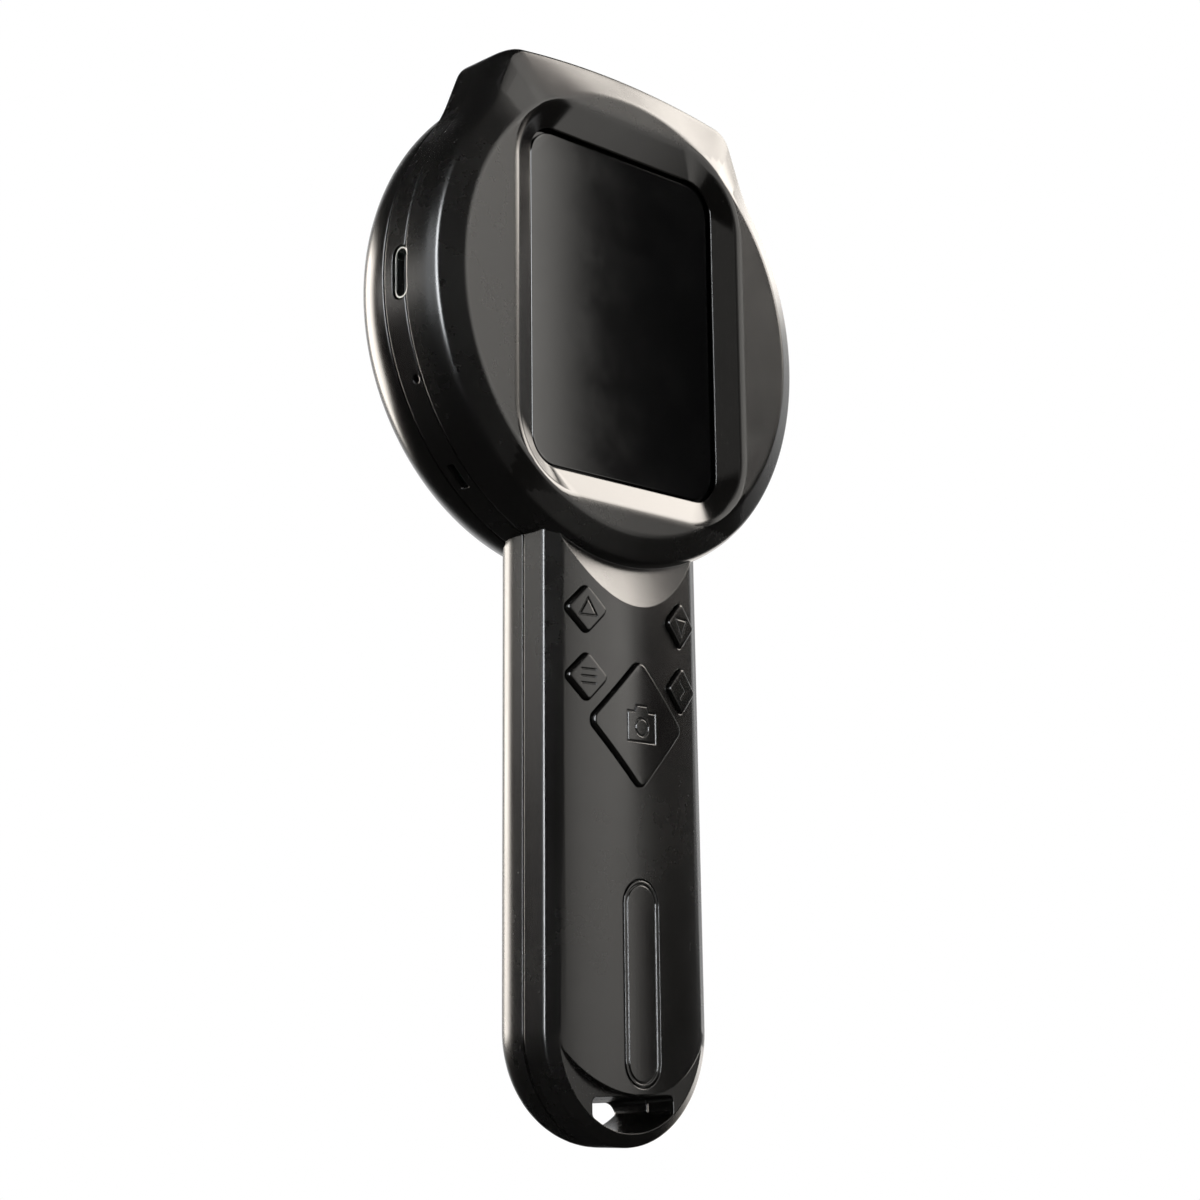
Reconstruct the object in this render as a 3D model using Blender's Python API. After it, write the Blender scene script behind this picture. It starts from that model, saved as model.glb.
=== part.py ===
"""A handheld digital magnifier: a round screen head on a grip, with its keys, optics and electronics.

X points right as the user sees the screen, Y points away from the user and Z runs up the grip to the
head. The origin is the middle of the grip. Pieces are drawn in the head's frame, whose origin is where
the head's axis meets its front plane: a point there is (across, depth, height). Lengths are in metres
and angles in degrees.
"""

import math

import bmesh
import bpy
from mathutils import Matrix, Vector

# Fits shared by all pieces
FIT_GAP = 0.0003
OVERRUN = 0.0020
MERGE_DISTANCE = 0.00001

# Head, seen from the front
HEAD_RADIUS = 0.0454
RING_WIDTH = 0.0054
RING_EDGE_INSET = 0.0014
RING_EDGE_DEPTH = 0.0019
SHOULDER_DEPTH = 0.0040
SEAM_DEPTH = 0.0093
RIM_DEPTH = 0.01475
HEAD_WALL = 0.0022

# Tab on top of the head
TAB_CORNER_PROUD = 0.0065
TAB_CORNER_BEARING = 32.8
TAB_CROWN = 0.0022
TAB_FLARE = 22.4
TAB_CORNER_RADIUS = 0.0060
TAB_HOLLOW_RADIUS = 0.0300

# Screen recess and the stack behind it
OPENING_WIDTH_SHARE = 0.705
OPENING_HEIGHT_SHARE = 0.8975
OPENING_CORNER_SHARE = 0.375
RECESS_SLOPE_WIDTH = 0.0051
RECESS_FOOT_RADIUS = 0.0060
RECESS_DEPTH = 0.0024
LIP_THICKNESS = 0.0003
SURROUND_WALL = 0.0014
SURROUND_BACK = 0.0017
WINDOW_MARGIN = 0.0024
WINDOW_THICKNESS = 0.0009
WINDOW_CORNER_RADIUS = 0.0065
GASKET_WIDTH = 0.0020
GASKET_THICKNESS = 0.0005
LCD_MARGIN = 0.0017
LCD_THICKNESS = 0.0011
BACKLIGHT_THICKNESS = 0.0013
PANEL_CORNER_RADIUS = 0.0010
BRACKET_MARGIN = 0.0023
BRACKET_THICKNESS = 0.0006
BRACKET_EAR_OUTSIDE = 0.0023
BRACKET_EAR_HEIGHT_SHARE = 0.45
BRACKET_EAR_RADIUS = 0.0024

# Handle
HANDLE_HALF_WIDTH = 0.0192
NECK_NARROWING = 0.0005
HANDLE_LENGTH = 0.0982
GRIP_BELOW_NECK = 0.0496
GRIP_DEPTH = 0.0110
HANDLE_WALL = 0.0020
CROWN_DEPTH = 0.0006
CROWN_RADIUS_SHARE = 3.125
CHAMFER_WIDTH = 0.0024
CHAMFER_RISE = 0.0014
SIDE_DEPTH = 0.0110
BACK_ROUNDING = 0.0088
NECK_RUN_IN = 0.0080

# Scoop under the head and step at the handle's end
SCOOP_DROP = 0.0073
SCOOP_SLOPE = 20.5
SCOOP_RADIUS = 0.0800
SCOOP_LENGTH = 0.0220
STEP_RISE = 0.0085
STEP_RADIUS_EXTRA = 0.0023
STEP_DEPTH = 0.0031

# Lanyard slot
SLOT_WIDTH_SHARE = 0.5
SLOT_RISE = 0.0084
SLOT_END_WALL = 0.0023
SLOT_CORNER_RADIUS = 0.0010
SLOT_BACK_FALL = 0.0013
SLOT_CASING = 0.0016

# Keys and what they press
KEY_HALF_DIAGONAL = 0.0041
KEY_CORNER_RADIUS = 0.0008
CAPTURE_CORNER_RADIUS = 0.0016
KEY_SIDE_ROOM = 0.0072
KEYS_APART = 0.0035
UPPER_KEY_DROP = 0.0091
LOWER_KEY_DROP = 0.0207
CAPTURE_DROP = 0.0279
KEY_PROUD = 0.0008
KEY_EDGE_BEVEL = 0.00025
KEY_FLANGE_MARGIN = 0.0008
KEY_FLANGE_THICKNESS = 0.0008
KEY_STEM_RADIUS = 0.0018
KEY_TRAVEL = 0.0005
PLUNGER_RADIUS = 0.0016
PLUNGER_DEPTH = 0.0065
PLUNGER_HEIGHT = 0.0008
PLUNGER_ENGAGEMENT = 0.0010
SWITCH_SIDE = 0.0060
SWITCH_HEIGHT = 0.0030
KEYPAD_TOP_DROP = 0.0043
KEYPAD_LENGTH = 0.0358
KEYPAD_SIDE_ROOM = 0.0007
KEYPAD_THICKNESS = 0.0012
KEYPAD_CORNER_RADIUS = 0.0020
KEYPAD_STAKE_ROOM = 0.0042
KEYPAD_STAKE_INSET = 0.0035
KEYPAD_STAKE_LOW_DROP = 0.0361

# Pill let into the handle
INLAY_HALF_WIDTH = 0.0040
INLAY_BELOW_KEYS = 0.0154
INLAY_RISE = 0.0098
INLAY_THICKNESS = 0.0008

# Main board and what stands on it
MAIN_BOARD_THICKNESS = 0.0012
MAIN_BOARD_INSET = 0.0007
CHIP_HEIGHT = 0.0012
PROCESSOR_SIDE = 0.0090
PROCESSOR_ACROSS_SHARE = 0.45
MEMORY_WIDTH = 0.0080
MEMORY_HEIGHT = 0.0060
MEMORY_ACROSS_SHARE = -0.45
CHIP_RISE_SHARE = 0.3

# Sockets and holes of the side wall, by bearing from +X towards +Z
USB_BEARING = 180.5
USB_WIDTH = 0.0089
USB_THICKNESS = 0.0032
USB_LENGTH = 0.0073
USB_SHEET = 0.00025
USB_SETBACK = 0.0005
USB_TONGUE_WIDTH = 0.0066
USB_TONGUE_THICKNESS = 0.0007
USB_TONGUE_LENGTH = 0.0046
USB_BASE_LENGTH = 0.0012
RESET_BEARING = 203.7
RESET_HOLE_RADIUS = 0.0008
RESET_BODY_WIDTH = 0.0034
RESET_BODY_LENGTH = 0.0022
RESET_BODY_HEIGHT = 0.0020
RESET_PLUNGER_RADIUS = 0.0005
RESET_PLUNGER_PROUD = 0.0012
RESET_ENGAGEMENT = 0.0009
RESET_BORE_DEPTH = 0.0016
STATUS_BEARING = 226.5
STATUS_DEPTH = 0.0119
STATUS_WIDTH = 0.0050
STATUS_THICKNESS = 0.0018
STATUS_SETBACK = 0.0008
STATUS_LED_SIDE = 0.0020
STATUS_LED_HEIGHT = 0.0008
CARD_BEARING = 0.0
CARD_SLOT_WIDTH = 0.0120
CARD_SLOT_THICKNESS = 0.0011
CARD_SOCKET_WIDTH = 0.0140
CARD_SOCKET_LENGTH = 0.0120
CARD_SOCKET_HEIGHT = 0.0014
CARD_SOCKET_SHEET = 0.0002

# Back of the head
FLANGE_WIDTH = 0.0104
FLANGE_THICKNESS = 0.0017
COVER_WALL = 0.0020
COVER_SIDE = 0.0006
COVER_ROUNDING = 0.0127
SPIGOT_THICKNESS = 0.0017
SPIGOT_BEAD = 0.0008
SPIGOT_BEAD_WIDTH = 0.0007

# Optics and lighting
SENSOR_SIDE = 0.0080
FILTER_THICKNESS = 0.0005
FILTER_SIDE = 0.0088
MOUNT_SIDE = 0.0130
MOUNT_ROOM_SIDE = 0.0094
MOUNT_ROOM_DEPTH = 0.0027
MOUNT_BASE_DEPTH = 0.0036
MOUNT_TUBE_LENGTH = 0.0052
MOUNT_TUBE_WALL = 0.0012
MOUNT_EAR_REACH = 0.0115
MOUNT_EAR_HALF_WIDTH = 0.0025
MOUNT_EAR_THICKNESS = 0.0012
MOUNT_SCREW_ACROSS = 0.0092
BARREL_RADIUS = 0.0050
BARREL_BORE = 0.0039
BARREL_LEDGE_BORE = 0.0030
BARREL_LEDGE = 0.0005
BARREL_PROUD = 0.0004
BARREL_ENGAGEMENT = 0.0046
LENS_THICKNESS = 0.0016
LENS_BULGE = 0.0004
HOOD_RADIUS = 0.0197
HOOD_TAPER = 0.0015
HOOD_SIDE_WALL = 0.0021
HOOD_END_WALL = 0.0014
HOOD_REACH = 0.0100
HOOD_COLLAR = 0.0010
HOOD_COLLAR_HEIGHT = 0.0012
HOOD_FLANGE_WIDTH = 0.0021
HOOD_FLANGE_THICKNESS = 0.0012
HOOD_LEDGE_WIDTH = 0.0021
LED_BOARD_THICKNESS = 0.0010
LED_BOARD_BORE = 0.0064
LED_COUNT = 8
LED_INSET = 0.0058
LED_SIDE = 0.0028
LED_HEIGHT = 0.0008
LIGHT_WINDOW_THICKNESS = 0.0012
LIGHT_WINDOW_SEAT = 0.0008

# Battery and wiring
BATTERY_SIDE_ROOM = 0.0017
BATTERY_END_ROOM = 0.0012
BATTERY_THICKNESS = 0.0100
BATTERY_EDGE = 0.0015
BATTERY_PAD_SIDE_MARGIN = 0.0070
BATTERY_PAD_END_MARGIN = 0.0047
LEAD_RADIUS = 0.0006
LEAD_SPREAD = 0.0010
BATTERY_LEAD_RISE = 0.0060
LED_LEAD_INSET = 0.0008
LED_LEAD_BEARING = -24.1
RIBBON_THICKNESS = 0.0003
RIBBON_HALF_WIDTH = 0.0050
BOARD_LINK_OVERLAP = 0.0060
LCD_FLEX_ACROSS = 0.0120
LCD_FLEX_LOOP = 0.0022

# Screws and their bosses
BOSS_RADIUS = 0.0025
PILOT_RADIUS = 0.0009
PILOT_DEPTH = 0.0045
SHANK_RADIUS = 0.0008
CLEARANCE_RADIUS = 0.0012
SCREW_HEAD_RADIUS = 0.0017
SCREW_HEAD_HEIGHT = 0.0008
COUNTERBORE_RADIUS = 0.0021
SCREW_ENGAGEMENT = 0.0035
HEAD_SCREW_INSET = 0.0069
HEAD_SCREW_BEARINGS = (90.0, 160.0, 270.0, 20.0)
HANDLE_BOSS_RADIUS = 0.0032
HANDLE_SCREW_FLOOR = 0.0018
END_SCREW_INSET = 0.0059
END_SCREW_RISE = 0.0137
SOCKET_RADIUS = 0.0009
SOCKET_DEPTH = 0.0005
STAKE_RADIUS = 0.0009
STAKE_CAP_RADIUS = 0.0016
STAKE_CAP_HEIGHT = 0.0008

# How finely curves are cut
HEAD_ARC_STEPS = 22
TAB_ARC_STEPS = 5
CORNER_STEPS = 3
OPENING_CORNER_STEPS = 6
END_ARC_STEPS = 10
ROUNDING_STEPS = 5
SHOULDER_STEPS = 2
CROWN_STEPS = 12
TURNED_STEPS = 48
ROD_STEPS = 12
SMALL_ROD_STEPS = 8
SMOOTH_ANGLE = 32.0
FLAT_ANGLE = 0.05
NOISE_DIGITS = 9

# Places worked out from the sizes above
DISC_RADIUS = HEAD_RADIUS - RING_WIDTH
OPENING_HALF_WIDTH = DISC_RADIUS * OPENING_WIDTH_SHARE
OPENING_HALF_HEIGHT = DISC_RADIUS * OPENING_HEIGHT_SHARE
OPENING_CORNER_RADIUS = DISC_RADIUS * OPENING_CORNER_SHARE
BRACKET_EAR_ACROSS = OPENING_HALF_WIDTH + BRACKET_EAR_OUTSIDE
BRACKET_EAR_HEIGHT = DISC_RADIUS * BRACKET_EAR_HEIGHT_SHARE
PROCESSOR_ACROSS = DISC_RADIUS * PROCESSOR_ACROSS_SHARE
MEMORY_ACROSS = DISC_RADIUS * MEMORY_ACROSS_SHARE
CHIP_RISE = DISC_RADIUS * CHIP_RISE_SHARE
NECK_HALF_WIDTH = HANDLE_HALF_WIDTH - NECK_NARROWING
CROWN_RADIUS = HANDLE_HALF_WIDTH * CROWN_RADIUS_SHARE
STEP_RADIUS = HANDLE_HALF_WIDTH + STEP_RADIUS_EXTRA
SLOT_HALF_WIDTH = HANDLE_HALF_WIDTH * SLOT_WIDTH_SHARE
END_SCREW_ACROSS = HANDLE_HALF_WIDTH - END_SCREW_INSET
KEY_ACROSS = NECK_HALF_WIDTH - KEY_SIDE_ROOM
CAPTURE_HALF_DIAGONAL = KEY_ACROSS + CAPTURE_DROP - LOWER_KEY_DROP - KEY_HALF_DIAGONAL - KEYS_APART
KEYPAD_HALF_WIDTH = NECK_HALF_WIDTH - HANDLE_WALL - KEYPAD_SIDE_ROOM
KEYPAD_STAKE_DROP = CAPTURE_DROP - CAPTURE_HALF_DIAGONAL - KEYPAD_STAKE_ROOM
KEYPAD_STAKE_ACROSS = KEYPAD_HALF_WIDTH - KEYPAD_STAKE_INSET
CAPTURE_END_DROP = CAPTURE_DROP + CAPTURE_HALF_DIAGONAL
INLAY_LENGTH = HANDLE_LENGTH - CAPTURE_END_DROP - INLAY_BELOW_KEYS - INLAY_RISE
HOOD_END_RADIUS = HOOD_RADIUS - HOOD_TAPER
HOOD_BORE = HOOD_RADIUS - HOOD_SIDE_WALL
HOOD_FLANGE_RADIUS = HOOD_RADIUS + HOOD_FLANGE_WIDTH
HOOD_LEDGE_BORE = HOOD_BORE - HOOD_LEDGE_WIDTH
LED_CIRCLE = HOOD_BORE - LED_INSET
KEYPAD_END_DROP = KEYPAD_TOP_DROP + KEYPAD_LENGTH
BATTERY_TOP_DROP = KEYPAD_END_DROP + FIT_GAP * 2
BATTERY_END_RISE = END_SCREW_RISE + HANDLE_BOSS_RADIUS + BATTERY_END_ROOM
BATTERY_LENGTH = HANDLE_LENGTH - BATTERY_TOP_DROP - BATTERY_END_RISE
BATTERY_WIDTH = (NECK_HALF_WIDTH - HANDLE_WALL - BATTERY_SIDE_ROOM) * 2
BATTERY_PAD_WIDTH = BATTERY_WIDTH - BATTERY_PAD_SIDE_MARGIN * 2
BATTERY_PAD_LENGTH = BATTERY_LENGTH - BATTERY_PAD_END_MARGIN * 2
FRONT_END = SEAM_DEPTH - FIT_GAP / 2
REAR_START = SEAM_DEPTH + FIT_GAP / 2
REAR_END = RIM_DEPTH - FIT_GAP / 2
COVER_START = RIM_DEPTH + FIT_GAP / 2
COVER_END = COVER_START + COVER_SIDE + COVER_ROUNDING
FOOT_HALF_WIDTH = OPENING_HALF_WIDTH - RECESS_SLOPE_WIDTH
FOOT_HALF_HEIGHT = OPENING_HALF_HEIGHT - RECESS_SLOPE_WIDTH
WINDOW_DEPTH = RECESS_DEPTH + LIP_THICKNESS + FIT_GAP
GASKET_DEPTH = WINDOW_DEPTH + WINDOW_THICKNESS + FIT_GAP
LCD_DEPTH = GASKET_DEPTH + GASKET_THICKNESS + FIT_GAP
BACKLIGHT_DEPTH = LCD_DEPTH + LCD_THICKNESS + FIT_GAP
BRACKET_DEPTH = BACKLIGHT_DEPTH + BACKLIGHT_THICKNESS + FIT_GAP
BRACKET_BACK = BRACKET_DEPTH + BRACKET_THICKNESS
MAIN_BOARD_DEPTH = BRACKET_BACK + FIT_GAP + STAKE_CAP_HEIGHT + FIT_GAP
MAIN_BOARD_BACK = MAIN_BOARD_DEPTH + MAIN_BOARD_THICKNESS
CHIP_DEPTH = MAIN_BOARD_BACK + FIT_GAP
BOARD_MIDDLE = MAIN_BOARD_DEPTH + MAIN_BOARD_THICKNESS / 2
MAIN_BOARD_RADIUS = HEAD_RADIUS - HEAD_WALL - MAIN_BOARD_INSET
FLANGE_RADIUS = HEAD_RADIUS - FLANGE_WIDTH
FLANGE_DEPTH = REAR_END - FLANGE_THICKNESS
HEAD_SCREW_CIRCLE = HEAD_RADIUS - HEAD_SCREW_INSET
HANDLE_DEPTH = SIDE_DEPTH + BACK_ROUNDING
END_HEIGHT = -HEAD_RADIUS - HANDLE_LENGTH
END_CENTRE = END_HEIGHT + HANDLE_HALF_WIDTH
NECK_TOP = -HEAD_RADIUS + NECK_RUN_IN
SLOT_TOP = END_HEIGHT + SLOT_RISE
SLOT_ARC_RADIUS = HANDLE_HALF_WIDTH - SLOT_END_WALL
SWITCH_DEPTH = PLUNGER_DEPTH + PLUNGER_HEIGHT
KEYPAD_DEPTH = SWITCH_DEPTH + SWITCH_HEIGHT + FIT_GAP
KEYPAD_BACK = KEYPAD_DEPTH + KEYPAD_THICKNESS
HANDLE_INNER_BACK = HANDLE_DEPTH - HANDLE_WALL
HOOD_END = COVER_END + HOOD_REACH
LIGHT_WINDOW_END = COVER_END + HOOD_COLLAR_HEIGHT
LIGHT_WINDOW_DEPTH = LIGHT_WINDOW_END - LIGHT_WINDOW_THICKNESS
LED_END = LIGHT_WINDOW_DEPTH - FIT_GAP
LED_BOARD_DEPTH = LED_END - LED_HEIGHT - LED_BOARD_THICKNESS
HOOD_FLANGE_BACK = COVER_END - COVER_WALL - FIT_GAP
HOOD_FLANGE_DEPTH = HOOD_FLANGE_BACK - HOOD_FLANGE_THICKNESS
BARREL_END = LIGHT_WINDOW_END + BARREL_PROUD
MOUNT_TUBE_END = CHIP_DEPTH + MOUNT_BASE_DEPTH + MOUNT_TUBE_LENGTH
BARREL_START = MOUNT_TUBE_END - BARREL_ENGAGEMENT


def below_neck(drop):
    """The height of a point on the handle, so far under the head's lowest point."""
    return -HEAD_RADIUS - drop


def crown_depth(across):
    """How deep the handle's crowned front lies, so far from its middle."""
    return CROWN_DEPTH + CROWN_RADIUS - math.sqrt(CROWN_RADIUS**2 - across**2)


CHAMFER_DEPTH = crown_depth(HANDLE_HALF_WIDTH - CHAMFER_WIDTH) + CHAMFER_RISE


def polar(radius, bearing):
    """(across, height) at a radius and bearing, without the last digits' noise near the axes."""
    across = radius * math.cos(math.radians(bearing))
    height = radius * math.sin(math.radians(bearing))
    return round(across, NOISE_DIGITS), round(height, NOISE_DIGITS)


def arc(centre, radius, start, end, steps):
    """Points along an arc of an outline, both ends included."""
    points = []
    for step in range(steps + 1):
        across, height = polar(radius, start + (end - start) * step / steps)
        points.append((centre[0] + across, centre[1] + height))
    return points


def mirrored(half):
    """A closed outline from its right half, which runs from the bottom to the top."""
    return half + [(-across, height) for across, height in reversed(half) if across > MERGE_DISTANCE]


def rounded(corners, radius, steps):
    """An outline whose corners are all rounded by one radius."""
    points = []
    for index, corner in enumerate(corners):
        here = Vector(corner)
        before = (Vector(corners[index - 1]) - here).normalized()
        after = (Vector(corners[(index + 1) % len(corners)]) - here).normalized()
        half_angle = before.angle(after) / 2
        centre = here + (before + after).normalized() * radius / math.sin(half_angle)
        reach = radius / math.tan(half_angle)
        first = here + before * reach - centre
        last = here + after * reach - centre
        sweep = math.atan2(first.cross(last), first.dot(last))
        for step in range(steps + 1):
            turn = Matrix.Rotation(sweep * step / steps, 2)
            points.append(tuple(centre + turn @ first))
    return points


def rounded_box(half_width, half_height, radius, steps, centre=(0.0, 0.0)):
    """A rounded rectangle's outline, anticlockwise from its lower right corner."""
    corners = [
        (centre[0] + half_width, centre[1] - half_height),
        (centre[0] + half_width, centre[1] + half_height),
        (centre[0] - half_width, centre[1] + half_height),
        (centre[0] - half_width, centre[1] - half_height),
    ]
    return rounded(corners, radius, steps)


def diamond(half_diagonal, radius, centre):
    """A square standing on a rounded corner."""
    corners = [
        (centre[0], centre[1] - half_diagonal),
        (centre[0] + half_diagonal, centre[1]),
        (centre[0], centre[1] + half_diagonal),
        (centre[0] - half_diagonal, centre[1]),
    ]
    return rounded(corners, radius, CORNER_STEPS)


def circle(radius, centre, steps):
    return arc(centre, radius, 0, 360, steps)[:-1]


def head_outline(inset):
    """The head's outline with its tab, drawn in by an inset: arcs about fixed centres, and one line."""
    flare = math.radians(TAB_FLARE)
    out = Vector((math.cos(flare), math.sin(flare)))
    up = Vector((-out.y, out.x))
    corner = Vector(polar(HEAD_RADIUS + TAB_CORNER_PROUD, 90 - TAB_CORNER_BEARING))
    side = out.dot(corner)
    top_radius = (corner.x**2 + TAB_CROWN**2) / (2 * TAB_CROWN)
    top_centre = Vector((0, corner.y + TAB_CROWN - top_radius))
    hollow_side = side + TAB_HOLLOW_RADIUS
    hollow_up = math.sqrt((HEAD_RADIUS + TAB_HOLLOW_RADIUS) ** 2 - hollow_side**2)
    hollow = out * hollow_side + up * hollow_up
    corner_side = side - TAB_CORNER_RADIUS
    corner_reach = corner_side - top_centre.dot(out)
    corner_up = math.sqrt((top_radius - TAB_CORNER_RADIUS) ** 2 - corner_reach**2)
    corner_centre = out * corner_side + up * (top_centre.dot(up) + corner_up)
    meet = math.degrees(math.atan2(hollow.y, hollow.x))
    top_start = math.degrees(math.atan2(corner_centre.y - top_centre.y, corner_centre.x))
    half = arc((0, 0), HEAD_RADIUS - inset, -90, meet, HEAD_ARC_STEPS)[:-1]
    half += arc(hollow, TAB_HOLLOW_RADIUS + inset, meet + 180, TAB_FLARE + 180, CORNER_STEPS)
    half += arc(corner_centre, TAB_CORNER_RADIUS - inset, TAB_FLARE, top_start, CORNER_STEPS)[:-1]
    half += arc(top_centre, top_radius - inset, top_start, 90, TAB_ARC_STEPS)
    return mirrored(half)


def handle_outline(inset, top):
    """The handle's outline drawn in by an inset, from its round end up to a height."""
    half = arc((0, END_CENTRE), HANDLE_HALF_WIDTH - inset, -90, 0, END_ARC_STEPS)
    half.append((NECK_HALF_WIDTH - inset, top))
    return mirrored(half)


def slot_outline(margin, top):
    """The lanyard slot: a straight top and an arc that follows the handle's end."""
    half_width = SLOT_HALF_WIDTH + margin
    radius = SLOT_ARC_RADIUS + margin
    corner = SLOT_CORNER_RADIUS + margin
    swing = math.degrees(math.asin((half_width - corner) / (radius - corner)))
    low_corner = polar(radius - corner, swing - 90)
    low_centre = (low_corner[0], END_CENTRE + low_corner[1])
    high_centre = (half_width - corner, top + margin - corner)
    half = arc((0, END_CENTRE), radius, -90, swing - 90, CORNER_STEPS)[:-1]
    half += arc(low_centre, corner, swing - 90, 0, CORNER_STEPS)
    half += arc(high_centre, corner, 0, 90, CORNER_STEPS)
    return mirrored(half)


def slot_outline_at(margin, depth):
    """The slot's outline at a depth: its top falls towards the back."""
    share = (depth - STEP_DEPTH) / (HANDLE_DEPTH - STEP_DEPTH)
    return slot_outline(margin, SLOT_TOP - SLOT_BACK_FALL * share)


def add_object(name, mesh):
    obj = bpy.data.objects.new(name, mesh)
    bpy.context.scene.collection.objects.link(obj)
    return obj


def object_from(name, bm):
    """An object from a bmesh whose faces are turned outwards and split into triangles, which are flat."""
    bmesh.ops.recalc_face_normals(bm, faces=bm.faces)
    if bm.calc_volume(signed=True) < 0:
        bmesh.ops.reverse_faces(bm, faces=bm.faces)
    bmesh.ops.triangulate(bm, faces=bm.faces)
    mesh = bpy.data.meshes.new(name)
    bm.to_mesh(mesh)
    bm.free()
    return add_object(name, mesh)


def loft(name, rings):
    """A solid through rings of points: the first ring's rim is extruded and fitted to each next one."""
    bm = bmesh.new()
    corners = [bm.verts.new(point) for point in rings[0]]
    rim = list(bm.faces.new(corners).edges)
    for ring in rings[1:]:
        fitted = {corner.co.copy().freeze(): point for corner, point in zip(corners, ring)}
        grown = bmesh.ops.extrude_edge_only(bm, edges=rim)["geom"]
        rim = [item for item in grown if isinstance(item, bmesh.types.BMEdge)]
        by_place = {}
        for item in grown:
            if isinstance(item, bmesh.types.BMVert):
                by_place[fitted[item.co.copy().freeze()]] = item
        corners = [by_place[point] for point in ring]
        for corner, point in zip(corners, ring):
            corner.co = point
    bm.faces.new(corners)
    return object_from(name, bm)


def layer(outline, depth):
    """An outline's points at one depth."""
    return [(across, depth, height) for across, height in outline]


def prism(name, outline, start, end):
    return loft(name, [layer(outline, start), layer(outline, end)])


def block(name, low, high):
    """A box between two corners."""
    bm = bmesh.new()
    bmesh.ops.create_cube(bm, size=1.0)
    low, high = Vector(low), Vector(high)
    size = high - low
    bm.transform(Matrix.Translation((low + high) / 2) @ Matrix.Diagonal((*size, 1.0)))
    return object_from(name, bm)


def rod(name, radius, start, end, steps=ROD_STEPS):
    """A round bar between two points."""
    start, end = Vector(start), Vector(end)
    along = end - start
    bm = bmesh.new()
    bmesh.ops.create_cone(
        bm, cap_ends=True, segments=steps, radius1=radius, radius2=radius, depth=along.length
    )
    turn = Vector((0, 0, 1)).rotation_difference(along).to_matrix().to_4x4()
    bm.transform(Matrix.Translation((start + end) / 2) @ turn)
    return object_from(name, bm)


def post(name, radius, place, start, end, steps=ROD_STEPS):
    """A round bar along the depth at a place of the front view."""
    return stepped_post(name, place, [(radius, start), (radius, end)], steps)


def stepped_post(name, place, rows, steps):
    """A round bar along the depth whose (radius, depth) rows set its steps."""
    return loft(name, [layer(circle(radius, place, steps), depth) for radius, depth in rows])


def turned(name, profile, steps=TURNED_STEPS):
    """A closed profile of (radius, depth) points spun about the head's axis."""
    bm = bmesh.new()
    verts = [bm.verts.new((radius, depth, 0)) for radius, depth in profile]
    edges = [bm.edges.new((verts[i - 1], verts[i])) for i in range(len(verts))]
    bmesh.ops.spin(
        bm, geom=verts + edges, cent=(0, 0, 0), axis=(0, 1, 0), angle=math.tau, steps=steps
    )
    bmesh.ops.remove_doubles(bm, verts=bm.verts, dist=MERGE_DISTANCE)
    return object_from(name, bm)


def ribbon(name, path, across, half_width, thickness):
    """A flat cable: a path of (depth, height) points with square bends, thickened and widened."""
    points = [Vector(point) for point in path]
    sides = ([], [])
    for index, point in enumerate(points):
        before = (point - points[max(index - 1, 0)]).normalized()
        after = (points[min(index + 1, len(points) - 1)] - point).normalized()
        along = (before + after).normalized()
        square = Vector((-along.y, along.x))
        lean = square.dot(Vector((-after.y, after.x)) if after.length else square)
        lean = lean or square.dot(Vector((-before.y, before.x)))
        sides[0].append(point + square * thickness / 2 / lean)
        sides[1].append(point - square * thickness / 2 / lean)
    outline = sides[0] + sides[1][::-1]
    ring = [[(across + side, depth, height) for depth, height in outline]
            for side in (-half_width, half_width)]
    return loft(name, ring)


def leads(name, start, end, side):
    """A twin lead: two round wires whose jackets are joined side by side."""
    shift = Vector(side) * LEAD_SPREAD
    twin = rod(name, LEAD_RADIUS, start, end, SMALL_ROD_STEPS)
    unite(twin, rod("wire", LEAD_RADIUS, Vector(start) + shift, Vector(end) + shift, SMALL_ROD_STEPS))
    return twin


def bake(obj):
    """Replaces an object's mesh by what its modifiers make of it."""
    graph = bpy.context.evaluated_depsgraph_get()
    mesh = bpy.data.meshes.new_from_object(obj.evaluated_get(graph), depsgraph=graph)
    obj.modifiers.clear()
    old = obj.data
    obj.data = mesh
    bpy.data.meshes.remove(old)


def combine(target, tools, operation):
    """One exact Boolean of a piece with all its tools, which are then removed."""
    group = bpy.data.collections.new(operation)
    for tool in tools:
        group.objects.link(tool)
    modifier = target.modifiers.new(operation, "BOOLEAN")
    modifier.operation = operation
    modifier.solver = "EXACT"
    modifier.operand_type = "COLLECTION"
    modifier.collection = group
    bake(target)
    bpy.data.collections.remove(group)
    for tool in tools:
        mesh = tool.data
        bpy.data.objects.remove(tool)
        bpy.data.meshes.remove(mesh)


def cut(target, *tools):
    combine(target, tools, "DIFFERENCE")


def unite(target, *tools):
    combine(target, tools, "UNION")


def keep_inside(target, *tools):
    combine(target, tools, "INTERSECT")


def moved(obj, matrix):
    obj.data.transform(matrix)
    return obj


def at_bearing(obj, bearing):
    """Swings a piece drawn along +X round the head's axis."""
    return moved(obj, Matrix.Rotation(-math.radians(bearing), 4, "Y"))


def merge_flat_faces(obj):
    """Joins the triangles that lie in one plane, and splits the joined faces as plainly as they allow."""
    bm = bmesh.new()
    bm.from_mesh(obj.data)
    bmesh.ops.remove_doubles(bm, verts=bm.verts, dist=MERGE_DISTANCE / 10)
    bmesh.ops.dissolve_limit(bm, angle_limit=math.radians(FLAT_ANGLE), verts=bm.verts, edges=bm.edges)
    bmesh.ops.triangulate(bm, faces=bm.faces, ngon_method="EAR_CLIP")
    bm.to_mesh(obj.data)
    bm.free()


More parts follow.
